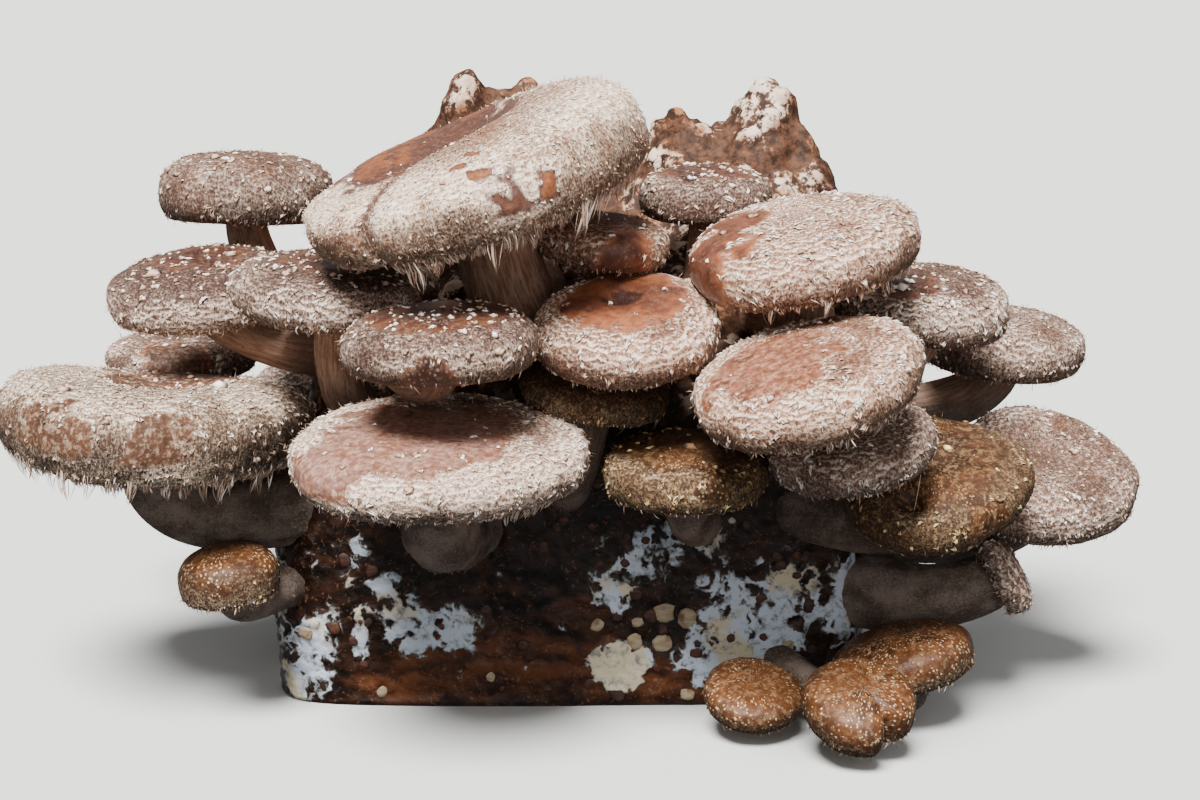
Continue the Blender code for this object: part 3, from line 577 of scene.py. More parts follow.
def stem_finish():
    """Stems: dull tan velvet with long fibres, browner towards the root, and darker low on the block, partly damp and
    partly painted shade.
    """
    f = Finish("stem_fibres", Specular_IOR_Level=0.25)
    skin = f.attribute("skin", "Vector")
    along = f.attribute("along")
    damp_and_shade = f.attribute("damp_and_shade")
    fibre = f.noise(f.stretched(skin, (1.1, 1.1, 0.14)), 1.0, 4.0, 0.65)
    cloud = f.noise(f.place(), 90, 4.0)
    fuzz = f.noise(f.place(), 1500, 3.0)
    pale = f.mix(fibre.between(0.36, 0.64), tone(128, 94, 74), tone(172, 138, 116))
    stained = f.mix((along * 0.6 + cloud * 0.7).between(0.55, 1.10), pale, tone(98, 70, 54))
    felt = f.noise(f.place(), 1300, 3.0, 0.6)
    velvet = f.mix((felt * 0.45 + cloud * 0.9).between(0.52, 0.86), tone(56, 48, 43), tone(124, 110, 100))
    # Low on the block the stems go dark: partly damp, partly painted shade.
    damp_and_shaded = f.mix(damp_and_shade * 0.9, stained, velvet)
    f.bump(fibre * 0.5 * (1 - damp_and_shade) + fuzz * 0.6 + felt * 0.6, 0.6, 0.6 * MM)
    return f.done(Base_Color=f.mix(fuzz.between(0.54, 0.70) * 0.2, damp_and_shaded, tone(170, 148, 132)),
                  Roughness=0.85 - cloud * 0.1)


def block_finish():
    """The block: wet dark sawdust, red-brown in places, under lacy blue-white growth, and a
    lumpy brown crust with cream and orange bloom on top."""
    f = Finish("sawdust_block", Specular_IOR_Level=0.2)
    place = f.place()
    growth = f.attribute("growth")
    crust = f.attribute("crust")
    amber = f.attribute("amber")
    lump = f.attribute("lump")
    grain = f.noise(place, 300, 6.0, 0.7)
    patch = f.noise(place, 45, 4.0)
    drift = f.noise(place, 70, 4.0, output="Color")
    smear = f.noise(f.moved(f.stretched(place, (80, 80, 190)), drift, 2.0), 1.0, 5.0, 0.6)
    torn = f.noise(f.moved(place, drift, 0.02), 170, 4.0, 0.6)
    fine = f.noise(place, 900, 4.0, 0.65)
    fibre = f.ridges(f.moved(place, drift, 0.03), 130, 30.0)
    dark = f.mix(smear.between(0.40, 0.68), tone(12, 6, 3), tone(46, 25, 14))
    warm = f.mix(smear.between(0.34, 0.66), tone(42, 20, 9), tone(92, 52, 28))
    earth = f.mix((amber + (patch - 0.5) * 1.3 + (smear - 0.5) * 0.6).between(0.25, 0.95), dark, warm)
    grained = f.mix(grain.between(0.52, 0.72) * 0.5, earth, tone(72, 42, 24))
    threaded = f.mix(fibre * fine.between(0.5, 0.62) * 0.4, grained, tone(150, 108, 80))
    lace = f.web(f.moved(f.stretched(place, (190, 190, 150)), drift, 4.0), 0.05, 0.22)
    edge = growth - 0.26 + (torn - 0.5) * 1.6 + (fine - 0.5) * 0.5 + lace * (growth + 0.6).between(0.0, 0.5) * 0.4
    veiled = f.mix(edge.between(-0.35, 0.05) * 0.16, threaded, tone(124, 104, 92))
    creamy = f.mix(patch.between(0.50, 0.58), tone(186, 195, 205), tone(196, 184, 156))
    shaded = f.mix(edge.between(0.04, 0.40) * grain.between(0.30, 0.52), tone(112, 112, 112), creamy)
    laced = f.mix(edge.between(0.0, 0.06), veiled, shaded)
    rind = f.mix(grain.between(0.36, 0.62), tone(44, 29, 21), tone(94, 62, 44))
    bloom = f.mix(patch.between(0.44, 0.60), tone(150, 98, 66), tone(220, 196, 174))
    crusted = f.mix((lump + (grain - 0.5) * 2.4 + (patch - 0.5)).between(0.55, 0.80), rind, bloom)
    f.bump(grain * 0.6 + smear * 0.5 + edge.between(0.0, 0.12) * 0.5, 0.7, 1.2 * MM)
    return f.done(Base_Color=f.mix(crust, laced, crusted),
                  Roughness=0.36 + edge.between(0.0, 0.1) * 0.35 + crust * 0.35 + (grain - 0.5) * 0.4)


def chip_finish(name, pale_color, dark_color, stain_color):
    """Wood chips, grained along their length and stained in spots."""
    f = Finish(name, Roughness=0.65)
    place = f.place()
    grain = f.noise(f.stretched(place, (260, 260, 900)), 1.0, 3.0)
    stain = f.noise(place, 300, 3.0)
    wood = f.mix(grain.between(0.4, 0.62), pale_color, dark_color)
    f.bump(grain, 0.4, 0.5 * MM)
    return f.done(Base_Color=f.mix(stain.between(0.50, 0.75), wood, stain_color))


# Caps


def cap_matrix(mushroom):
    front, right = mushroom["lean"]
    turn = Euler((math.radians(front), math.radians(right), 0.0), "XYZ").to_matrix()
    return np.array(turn)


def to_world(mushroom, local):
    return local @ cap_matrix(mushroom).T + np.array(mushroom["centre"])


def cap_profile(mushroom):
    """A cap's half outline from the crown to the gill seat: a superellipse over the widest ring,
    a round lip under it, then a straight run in. Returns its length, radius share and level."""
    radius = mushroom["diameter"] / 2
    crown = np.radians(np.linspace(0, 90, 90))
    lip = np.radians(np.linspace(0, 150, 60))[1:]
    run = np.linspace(0, 1, 20)[1:]
    seat = SEAT_MARGIN * mushroom["stem"] / mushroom["diameter"]
    under_share = LIP_RADIUS + (1 - LIP_RADIUS) * np.cos(lip)
    share = np.concatenate([np.sin(crown) ** (2 / CAP_EXPONENT), under_share,
                            under_share[-1] + (seat - under_share[-1]) * run, [0.02]])
    under_level = -np.sin(lip)
    level = np.concatenate([np.clip(np.cos(crown), 0, 1) ** (2 / CAP_EXPONENT), under_level,
                            under_level[-1] + (-SEAT_DEPTH - under_level[-1]) * run, [-SEAT_DEPTH]])
    upper, lower = cap_heights(mushroom)
    height = np.where(level > 0, upper * level, lower * level)
    steps = np.hypot(np.diff(share * radius), np.diff(height))
    return np.concatenate([[0.0], np.cumsum(steps)]), share, level


def cap_heights(mushroom):
    whole = mushroom["thickness"] * mushroom["diameter"] / 2
    return UPPER_SHARE * whole, (1 - UPPER_SHARE) * whole


def fold_at(mushroom, angle):
    """1 in the middle of a cap's crease, falling to 0 at its two sides."""
    crease_angle, crease_depth, crease_width = mushroom.get("crease", (0, 0.0, 1))
    turn = (np.degrees(angle) - crease_angle + 180) % 360 - 180
    return np.clip(1 - np.abs(turn) / crease_width, 0, 1) * (crease_depth > 0)


def cap_local(mushroom, share, level, angle):
    """Shape a unit cap: waves and a notch in its reach, a dip, dents, a saddle bend and fine lumps."""
    radius = mushroom["diameter"] / 2
    upper, lower = cap_heights(mushroom)
    phase = mushroom["phase"]
    notch_angle, notch_depth, notch_width = mushroom.get("notch", (0, 0.0, 1))
    turn = (np.degrees(angle) - notch_angle + 180) % 360 - 180
    reach = 1 + mushroom.get("wave", USUAL_WAVE) * np.sin(WAVES * angle + phase)
    reach -= notch_depth * np.exp(-(turn / notch_width) ** 2) * share ** 2
    reach += 0.012 * share ** 2 * np.sin(7 * angle + 2 * phase) * np.cos(4 * angle + phase)
    crease_depth = mushroom.get("crease", (0, 0.0, 1))[1]
    fold = fold_at(mushroom, angle)
    crease = crease_depth * (1 - np.sqrt(1 - fold * fold)) * share
    bulge = 0.5 * crease_depth * fold * (1 - fold) * share
    reach += bulge - crease
    dip = mushroom.get("dip", 0.0) * np.exp(-(share / DIP_RADIUS) ** 2)
    lopsided = 1 + mushroom.get("lopsided", 0.0) * share * np.cos(angle)
    height = np.where(level > 0, upper * level * (1 - dip) * lopsided * (1 + bulge - crease), lower * level)
    height = height + radius * mushroom.get("saddle", 0.0) * share ** 2 * np.cos(2 * angle)
    x = share * np.cos(angle)
    y = share * np.sin(angle)
    for dent_x, dent_y, dent_radius, dent_depth in mushroom.get("dents", []):
        gap = ((x - dent_x) ** 2 + (y - dent_y) ** 2) / dent_radius ** 2
        height = height - np.where(level > 0, radius * dent_depth * np.exp(-gap), 0.0)
    local = np.stack([x * radius * reach, y * radius * reach * mushroom.get("deep", 1.0), height], axis=-1)
    lumps = 0.016 * layered_noise(local / 0.011 + phase, 2, 11) + 0.006 * lattice_noise(local / 0.0032 + phase, 13)
    return local * (1 + lumps[..., None])


def cap_surface(mushroom, length, angle):
    """World points of a cap's skin at a length down its outline and an angle round it."""
    lengths, share, level = mushroom["profile"]
    local = cap_local(mushroom, np.interp(length, lengths, share), np.interp(length, lengths, level), angle)
    return to_world(mushroom, local), local


def bareness(mushroom, length, local):
    """1 inside the bare patches, fading to 0 outside them, with edges that wander."""
    lengths, share, level = mushroom["profile"]
    place = local / (mushroom["diameter"] / 2)
    ragged = 0.16 * layered_noise(local / 0.006, 2, 23)
    bare = np.zeros(local.shape[:-1])
    for x, y, z, radius in mushroom["bare"]:
        gap = np.linalg.norm(place - np.array([x, y, z]), axis=-1) + ragged
        bare = np.maximum(bare, 1 - smooth_step(radius * 0.60, radius * 1.18, gap))
    if "smooth_lip" in mushroom:
        return bare
    return bare * smooth_step(-0.55, 0.05, np.interp(length, lengths, level) + 0.5 * ragged)


def pits(mushroom, local):
    """1 in the middle of a cap's dents, fading to 0 round them."""
    place = local[..., :2] / (mushroom["diameter"] / 2) + 0.05 * lattice_noise(local / 0.004, 19)[..., None]
    pit = np.zeros(local.shape[:-1])
    for x, y, radius, depth in mushroom.get("dents", []):
        gap = np.linalg.norm(place - np.array([x, y]), axis=-1) / radius
        pit = np.maximum(pit, smooth_step(1.5, 0.4, gap) * (local[..., 2] > 0))
    return pit


def by_zone(mushroom, length, values):
    """Blend four values given at a cap's crown, shoulder, side and lip."""
    lengths, share, level = mushroom["profile"]
    down = -np.interp(length, lengths, level)
    return np.interp(down, ZONE_LEVELS, values)


def scale_cover(mushroom, length, local, bare):
    """How thickly scales grow: by zone, in patches, and most along the rim of bare skin."""
    patches = layered_noise(local / 0.010 + 3, 2, 29)
    rim = np.clip(1 - np.abs(bare - 0.30) / 0.30, 0, 1)
    open_skin = 1 - smooth_step(0.80, 0.92, fold_at(mushroom, np.arctan2(local[..., 1], local[..., 0])))
    cover = by_zone(mushroom, length, mushroom["cover"]) * open_skin
    return np.clip(cover * (1 + 0.55 * patches) + 0.4 * rim * cover ** 0.5, 0, 1)


def make_cap(mushroom, finish):
    """Skin of a cap: its outline carried round its axis."""
    lengths = mushroom["profile"][0]
    columns = int(math.tau * mushroom["diameter"] / 2 / CAP_STEP)
    rows = int(lengths[-1] / CAP_STEP)
    length = np.linspace(0.4 * CAP_STEP, lengths[-1], rows)[:, None] * np.ones((1, columns))
    angle = np.ones((rows, 1)) * np.linspace(0, math.tau, columns, endpoint=False)[None, :]
    points, local = cap_surface(mushroom, length, angle)
    radius = mushroom["diameter"] / 2
    skin = np.stack([radius * np.cos(angle), radius * np.sin(angle), length], axis=-1) / MM
    skin = skin + 100 * mushroom["phase"]
    bare = bareness(mushroom, length, local)
    frost = scale_cover(mushroom, length, local, bare)
    # low darkens the skin towards the lip: partly its own darker lower side, partly painted shade.
    low = by_zone(mushroom, length, (0.0, 0.1, 0.65, 1.0)) + 0.25 * layered_noise(local / 0.014 + 8, 2, 37)
    # Painted shade in the crease: the fold is drawn darker, like occlusion.
    low = low + 2.0 * smooth_step(0.80, 0.98, fold_at(mushroom, angle))
    attributes = {"skin": spread(skin), "bare": spread(bare), "low": spread(low), "frost": spread(frost),
                  "pit": spread(pits(mushroom, local))}
    name = "skin_" + mushroom["place"]
    cap = new_piece(name, spread(points), grid_faces(rows, columns, True), finish, attributes)
    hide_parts("cap_" + mushroom["place"])


def make_gills(mushroom, finish):
    """Gills: a ring of radial folds from the stem to the lip, closed by a plain roof over it."""
    radius = mushroom["diameter"] / 2
    folds = int(math.tau * radius * 0.62 / GILL_SPACING)
    columns = folds * 4
    seat = SEAT_MARGIN * mushroom["stem"] / mushroom["diameter"]
    outward = np.linspace(0, 1, 7)
    share = seat * 0.9 + (0.80 - seat * 0.9) * outward
    roof = -SEAT_DEPTH - 0.02 - 0.38 * outward ** 2
    edge = -SEAT_DEPTH - 0.12 - 0.46 * np.sin(np.radians(40 + 110 * outward)) ** 1.0
    edge = np.minimum(edge, roof - 0.04)
    along = np.tile([0.0, 1.0, 1.0, 0.0], folds)[None, :]
    turn = np.linspace(0, math.tau, columns, endpoint=False)
    turn = turn + np.tile([0.0, 0.3, -0.3, 0.0], folds) * math.tau / columns
    folded = roof[:, None] * (1 - along) + edge[:, None] * along
    level = np.concatenate([folded, np.repeat(roof[::-1, None] + 0.03, columns, axis=1)])
    share = np.concatenate([share, share[::-1]])[:, None] * np.ones((1, columns))
    angle = np.ones((len(share), 1)) * turn[None, :]
    ridge = np.concatenate([np.repeat(along, 7, axis=0), np.zeros((7, columns))])
    points = to_world(mushroom, cap_local(mushroom, share, level, angle))
    faces = grid_faces(len(share), columns, False, wrap_rows=True)
    gills = new_piece("gills_" + mushroom["place"], points, faces, finish, {"ridge": ridge.ravel()})


# Scales, threads and fuzz

LONG_BLADE = ((0.0, 0.35, 0.7, 1.0), (0.8, 1.0, 0.6, 0.0))  # stations along it and widths there
SHORT_BLADE = ((0.0, 0.5, 1.0), (0.8, 1.0, 0.0))
SHADES = 8
ZONE_LEVELS = (-1.0, -0.62, 0.15, 0.95)  # how far down the crown, shoulder, side and lip lie


def make_blades(name, finish, slot, form, roots, tips, out, arch, bend, width, shade):
    """Small blades with a raised keel. A blade runs straight from its root to its tip, plus an
    arch of 4t(1 - t) outwards and a bend of the same form sideways, and narrows to a point."""
    stations, widths = (np.array(values) for values in form)
    count = len(roots)
    rings = len(stations) - 1
    side = unit(np.cross(tips - roots, out))
    t = stations[None, :, None]
    middle = roots[:, None] * (1 - t) + tips[:, None] * t - out[:, None] * 0.15 * MM * (1 - t)
    bow = 4 * t * (1 - t)
    middle = middle + bow * (out[:, None] * arch[:, None, None] + side[:, None] * bend[:, None, None])
    across = width[:, None, None] * widths[None, :, None]
    half = 0.5 * across * side[:, None]
    edges = np.stack([middle - half, middle + 0.35 * across * out[:, None], middle + half], axis=2)
    points = np.concatenate([edges[:, :rings].reshape(count, 3 * rings, 3), middle[:, -1:]], axis=1)
    last = 3 * (rings - 1)
    pairs = ((0, 1), (1, 2), (2, 0))
    walls = [(row + a, row + b, row + 3 + b, row + 3 + a) for row in range(0, last, 3) for a, b in pairs]
    ends = [(last + a, last + b, last + 3) for a, b in pairs] + [(2, 1, 0)]
    first = (3 * rings + 1) * np.arange(count)[:, None, None]
    faces = (np.array(walls)[None] + first).reshape(-1, 4).tolist()
    faces += (np.array(ends)[None] + first).reshape(-1, 3).tolist()
    place = (shade[:, None] + np.array([0.2, 0.5, 0.8] * rings + [0.5])[None, :]) / SHADES
    along = np.repeat(stations, 3)[:3 * rings + 1][None, :] * 0.96 + 0.02 + np.zeros((count, 1))
    piece = new_piece(name, points, faces, finish, uv=np.stack([place, along], axis=-1))


def joined(parts):
    """Several sets of blades as one."""
    return {key: np.concatenate([part[key] for part in parts]) for key in parts[0]}


def scatter(mushroom, spacing, rng):
    """Places spread evenly over a cap, as lengths down its outline and angles round it."""
    lengths, share, level = mushroom["profile"]
    rows = np.arange(spacing, lengths[np.argmax(level <= -0.985)], spacing)
    around = math.tau * np.interp(rows, lengths, share) * mushroom["diameter"] / 2
    counts = np.maximum((around / spacing).astype(int), 1)
    length = np.repeat(rows, counts) + rng.uniform(-0.5, 0.5, counts.sum()) * spacing
    return length, rng.uniform(0, math.tau, counts.sum())


def skin_frame(mushroom, length, angle):
    """Points of a cap's skin with the way down its side and the way out of it."""
    point, local = cap_surface(mushroom, length, angle)
    further = cap_surface(mushroom, length + 0.3 * MM, angle)[0]
    beside = cap_surface(mushroom, length, angle + 0.01)[0]
    down = unit(further - point)
    return point, local, down, unit(np.cross(down, beside - point))


def shades_for(mushroom, length, cover, rng):
    """Pale threads where they grow thickly and high up, and greyer ones near the lip, partly as painted shade."""
    mean = by_zone(mushroom, length, (0.6, -0.4, 1.0, 2.2)) + 2.2 * (1 - cover)
    return np.clip(rng.normal(mean, 1.3), 0, SHADES - 1).astype(int)


def crown_flakes(mushroom, rng):
    """Flat ragged flakes on the crown: two broad blades that cross at one root."""
    lengths, share, level = mushroom["profile"]
    size = mushroom["size"] ** 0.5 * MM
    length, angle = scatter(mushroom, FLAKE_SPACING, rng)
    chance = mushroom["flakes"] * smooth_step(0.1, 0.75, np.interp(length, lengths, level))
    keep = rng.uniform(0, 1, len(length)) < chance
    length, angle = length[keep], angle[keep]
    point, local, down, out = skin_frame(mushroom, length, angle)
    count = len(point)
    whole = size * rng.lognormal(0.40, 0.35, count)
    shade = rng.integers(0, 4, count)
    parts = []
    for share in (1.0, 0.75):
        turn = rng.uniform(0, math.tau, count)[:, None]
        way = down * np.cos(turn) + np.cross(down, out) * np.sin(turn)
        tips = point + way * (whole * share)[:, None] + out * rng.uniform(0.05, 0.4, count)[:, None] * MM
        parts.append(dict(roots=point - way * whole[:, None] * 0.3, tips=tips, out=out, shade=shade,
                          arch=rng.uniform(0.05, 0.25, count) * MM, bend=rng.normal(0, 0.2, count) * whole,
                          width=whole * share * rng.uniform(0.6, 1.1, count)))
    return joined(parts)


def pointed_scales(mushroom, rng):
    """Torn scales: fans of four threads that meet at one raised tip below."""
    lengths, share, level = mushroom["profile"]
    size = mushroom["size"]
    comb = mushroom["comb"]
    length, angle = scatter(mushroom, SCALE_SPACING * size ** 0.5, rng)
    local = cap_surface(mushroom, length, angle)[1]
    bare = bareness(mushroom, length, local)
    cover = scale_cover(mushroom, length, local, bare)
    clump = smooth_step(-0.30, 0.35, lattice_noise(local / 0.0038 + 17, 47))
    keep = rng.uniform(0, 1, len(length)) < cover * (0.15 + 0.75 * clump) * (1 - bare) ** 1.2
    length, angle, cover = length[keep], angle[keep], cover[keep]
    count = len(length)
    reach = np.maximum(np.interp(length, lengths, share), 0.25) * mushroom["diameter"] / 2
    tall = size * rng.lognormal(1.0, 0.35, count) * (1 + 0.3 * comb) * MM
    tall = np.minimum(tall, lengths[-1] - length)
    wide = tall * rng.uniform(0.25, 0.55, count) * (1 - 0.4 * comb)
    swing = tall * rng.normal(0, 0.45 - 0.35 * comb, count)
    lift = size * rng.uniform(0.2, 1.1, count) * (1 - 0.4 * comb) * MM
    shade = shades_for(mushroom, length, cover, rng)
    parts = []
    for turn in (-1.0, -0.4, 0.3, 1.0):
        start = length + tall * (rng.uniform(-0.15, 0.25, count) + 0.3 * abs(turn))
        root_angle = angle + (turn + rng.normal(0, 0.15, count)) * wide / reach
        point, local, down, out = skin_frame(mushroom, start, root_angle)
        end = length + tall * rng.uniform(0.8, 1.05, count)
        tips = cap_surface(mushroom, end, angle + (swing + rng.normal(0, 0.12, count) * MM) / reach)[0]
        parts.append(dict(roots=point, tips=tips + out * lift[:, None], out=out, shade=shade,
                          arch=rng.uniform(0.0, 0.35, count) * MM, bend=rng.normal(0.35 * turn, 0.2, count) * wide,
                          width=rng.uniform(0.28, 0.62, count) * size ** 0.5 * MM))
    return joined(parts)


def short_fuzz(mushroom, rng):
    """Single short hairs between the scales, nearly as dark as the ground."""
    length, angle = scatter(mushroom, FUZZ_SPACING * mushroom["size"] ** 0.5, rng)
    local = cap_surface(mushroom, length, angle)[1]
    bare = bareness(mushroom, length, local)
    cover = scale_cover(mushroom, length, local, bare)
    keep = rng.uniform(0, 1, len(length)) < (0.10 + 0.5 * cover) * (1 - bare) ** 2
    length, angle, cover = length[keep], angle[keep], cover[keep]
    point, local, down, out = skin_frame(mushroom, length, angle)
    count = len(point)
    way = unit(down + rng.normal(0, 0.6, (count, 3)))
    whole = rng.uniform(0.6, 2.0, count)[:, None] * MM
    return dict(roots=point, tips=point + (way + out * rng.uniform(0.2, 0.9, count)[:, None]) * whole, out=out,
                arch=rng.uniform(-0.1, 0.3, count) * MM, bend=rng.normal(0, 0.35, count) * MM,
                width=rng.uniform(0.14, 0.28, count) * MM,
                shade=np.minimum(shades_for(mushroom, length, cover, rng) + 2, SHADES - 1))


def make_scales(mushroom, finish, rng):
    """Everything that stands on a cap's upper side."""
    parts = [crown_flakes(mushroom, rng), pointed_scales(mushroom, rng), short_fuzz(mushroom, rng)]
    make_blades("scales_" + mushroom["place"], finish, "cap_skin", SHORT_BLADE, **joined(parts))


def make_fringe(mushroom, finish, rng):
    """Torn veil along the lip: short threads all round, and teeth, each a strip of skin and some
    threads that start side by side on the lip and meet at one hanging point."""
    lengths, share, level = mushroom["profile"]
    radius = mushroom["diameter"] / 2
    start = lengths[np.argmax(level <= -0.60)]
    end = lengths[np.argmax(level <= -0.999)]
    count = int(math.tau * radius / (0.5 * MM) * (0.2 + mushroom["cover"][3]))
    length = rng.uniform(start, end + 0.8 * MM, count)
    point, local, down, out = skin_frame(mushroom, length, rng.uniform(0, math.tau, count))
    whole = rng.lognormal(0.25, 0.5, count)[:, None] * MM
    way = unit(down + np.array([0, 0, -0.4]) + rng.normal(0, 0.35, (count, 3)))
    parts = [dict(roots=point, tips=point + way * whole, out=out, width=rng.uniform(0.2, 0.5, count) * MM)]
    teeth, tooth_length, first_turn, last_turn = mushroom.get("teeth", (0, 0, 0, 0))
    if teeth:
        threads = 7
        turn = np.radians(rng.uniform(first_turn, last_turn, teeth))
        hang = (0.15 + 0.85 * rng.uniform(0.0, 1.0, teeth) ** 3.0) * tooth_length * MM
        wide = (0.5 * MM + 0.24 * hang) * rng.uniform(0.6, 1.4, teeth)
        tips = cap_surface(mushroom, np.full(teeth, end - 0.5 * MM), turn)[0]
        drift = rng.normal(0, 0.22, (teeth, 2))
        tips = tips + np.concatenate([drift, -np.ones((teeth, 1))], axis=1) * hang[:, None]
        tips = np.repeat(tips, threads, axis=0) + rng.normal(0, 0.2 * MM, (teeth * threads, 3))
        offset = np.tile([0.0, -1.0, 1.0, -0.6, 0.6, -0.3, 0.3], teeth) + rng.normal(0, 0.25, teeth * threads)
        roots_turn = np.repeat(turn, threads) + offset * np.repeat(wide, threads) / radius
        roots_length = rng.uniform(start + 0.5 * MM, end, teeth * threads)
        point, local, down, out = skin_frame(mushroom, roots_length, roots_turn)
        share = np.where(np.arange(teeth * threads) % threads == 0, 0.9, rng.uniform(0.6, 1.0, teeth * threads))
        strip = rng.uniform(0.2, 0.55, teeth * threads) * np.repeat(wide, threads)
        width = np.where(np.arange(teeth * threads) % threads == 0, strip, 0.34 * MM)
        parts.append(dict(roots=point, tips=point + (tips - point) * share[:, None], out=out, width=width))
    whole = joined(parts)
    reach = np.linalg.norm(whole["tips"] - whole["roots"], axis=-1)
    count = len(reach)
    make_blades("veil_" + mushroom["place"], finish, "cap_skin", LONG_BLADE, **whole,
                arch=rng.uniform(0.0, 0.10, count) * reach, bend=rng.normal(0, 0.08, count) * reach,
                shade=np.clip(rng.normal(2.1, 1.6, count), 0, SHADES - 1).astype(int))


# Stems


def stem_path(mushroom, count):
    """A straight neck, then a Bezier curve that ends square to the block."""
    axis = cap_matrix(mushroom)[:, 2]
    seat_level = cap_heights(mushroom)[1] * SEAT_DEPTH
    start = np.array(mushroom["centre"]) - axis * (seat_level + TOUCH_GAP)
    end = np.array(mushroom["root"])
    neck = start - axis * NECK_LENGTH
    drop = seat_level * (1 - SEAT_DEPTH) / SEAT_DEPTH + mushroom["stem"] / 2 + LIP_CLEARANCE
    outward = unit(np.array([end[0] / BLOCK_WIDTH, end[1] / BLOCK_DEPTH, 0.0]))
    bend_a = neck - axis * mushroom.get("drop", DROP_EXCESS * drop)
    bend_b = end + outward * ROOT_BEND * np.linalg.norm(end - neck)
    t = np.linspace(0, 1, count)[:, None]
    s = 1 - t
    curve = neck * s ** 3 + bend_a * 3 * s * s * t + bend_b * 3 * s * t * t + end * t ** 3
    swell = 1 + (FOOT_SWELL - 1) * t[:, 0]
    return np.concatenate([[start], curve]), np.concatenate([[1.0], swell])


def path_sides(path):
    """Two directions square to a path, turned along it as little as possible."""
    way = unit(np.gradient(path, axis=0))
    first = np.zeros_like(way)
    side = unit(np.cross(way[0], np.array([0.31, 0.95, 0.05])))
    for i in range(len(path)):
        side = unit(side - way[i] * (side @ way[i]))
        first[i] = side
    return first, np.cross(way, first)


def make_stem(mushroom, finish, fuzz_finish, rng):
    """A stem: a ring of radius r(along, angle) carried along its path, ribbed by long fibres."""
    straight = np.linalg.norm(np.array(mushroom["centre"]) - np.array(mushroom["root"]))
    rows = max(int(1.15 * straight / STEM_STEP), 12)
    path, swell = stem_path(mushroom, rows)
    rows = len(path)
    columns = max(int(math.pi * mushroom["stem"] * 1.2 / STEM_STEP), 16)
    first, second = path_sides(path)
    angle = np.linspace(0, math.tau, columns, endpoint=False)[None, :]
    run = np.concatenate([[0.0], np.cumsum(np.linalg.norm(np.diff(path, axis=0), axis=1))])[:, None]
    phase = mushroom["phase"]
    base = mushroom["stem"] / 2
    ring = np.stack([np.cos(angle) * np.ones_like(run), np.sin(angle) * np.ones_like(run),
                     run / base * 0.35 + 0 * angle], axis=-1)
    ribs = layered_noise(ring * np.array([4.0, 4.0, 0.8]) + phase, 3, 41)
    lumps = layered_noise(ring * 1.3 + phase, 2, 43)
    radius = base * swell[:, None] * (1 + 0.05 * ribs + 0.05 * lumps)
    points = path[:, None] + radius[..., None] * (np.cos(angle)[..., None] * first[:, None]
                                                  + np.sin(angle)[..., None] * second[:, None])
    skin = np.stack([base * np.cos(angle) + 0 * run, base * np.sin(angle) + 0 * run, run + 0 * angle],
                    axis=-1) / MM + 50 * phase
    along = run / run[-1] + 0 * angle
    faces = grid_faces(rows, columns, True)
    # Darker low on the block: partly damp, partly painted shade.
    damp_and_shade = smooth_step(0.125, 0.060, points[..., 2] + 0.02 * lumps)
    attributes = {"skin": spread(skin), "along": spread(along), "damp_and_shade": spread(damp_and_shade)}
    stem = new_piece("flesh_" + mushroom["place"], spread(points), faces, finish, attributes)
    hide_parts("stem_" + mushroom["place"])
    count = int(rows * columns * 0.16)
    row = rng.integers(2, rows - 3, count)
    column = rng.integers(0, columns, count)
    out = unit(points[row, column] - path[row])
    down = unit(path[row + 1] - path[row] + rng.normal(0, 0.3, (count, 3)) * STEM_STEP)
    roots = points[row, column]
    tips = roots + (down * rng.uniform(0.5, 1.6, (count, 1)) + out * rng.uniform(0.1, 0.6, (count, 1))) * MM
    make_blades("fuzz_" + mushroom["place"], fuzz_finish, "stem_flesh", SHORT_BLADE, roots, tips, out,
                rng.uniform(-0.1, 0.1, count) * MM, rng.normal(0, 0.2, count) * MM,
                rng.uniform(0.12, 0.35, count) * MM, rng.integers(0, SHADES, count))


# The block

# Lacy white growth on the front face: x, z, half width and half height in mm, and strength
GROWTH = [
    (-68, 49, 6, 8, 0.7), (-58, 40, 6, 5, 0.8), (-64, 30, 4, 4, 0.7), (-66, 21, 3.5, 7, 0.8),
    (-50, 27, 9, 10, 1.1), (-36, 27, 8, 8, 1.0), (15, 43, 9, 15, 0.75), (28, 50, 11, 11, 0.75),
    (16, 14, 11, 8, 1.6), (57, 26, 21, 22, 0.9), (44, 16, 11, 10, 0.8), (70, 40, 10, 12, 0.85),
    (76, 36, 6, 10, 0.9), (88, 32, 8, 18, 1.0), (-83, 14, 11, 16, 0.95), (-92, 30, 5, 22, 0.8),
    (-40, 56, 8, 10, 0.5), (0, 28, 6, 4, 0.3), (-78, 52, 9, 8, 0.55), (48, 52, 12, 8, 0.5),
]
# Red-brown stretches of the front face, in the same way
AMBER = [(-22, 14, 46, 13, 1.0), (-42, 8, 30, 8, 0.9), (35, 8, 30, 9, 0.8), (2, 30, 14, 12, 0.5),
         (-20, 44, 16, 14, 0.3)]

WALL_STEP = 0.0010
CRUST_STEP = 0.0016
BLOCK_COLUMNS = 520
FRONT_FINENESS = 1.8  # how much closer the columns stand on the front face


def ellipse_cover(patches, x, z):
    """The strongest of a list of soft ellipses at each point."""
    cover = np.zeros_like(x)
    for centre_x, centre_z, half_x, half_z, strength in patches:
        gap = np.hypot((x / MM - centre_x) / half_x, (z / MM - centre_z) / half_z)
        cover = np.maximum(cover, strength * smooth_step(1.45, 0.45, gap))
    return cover


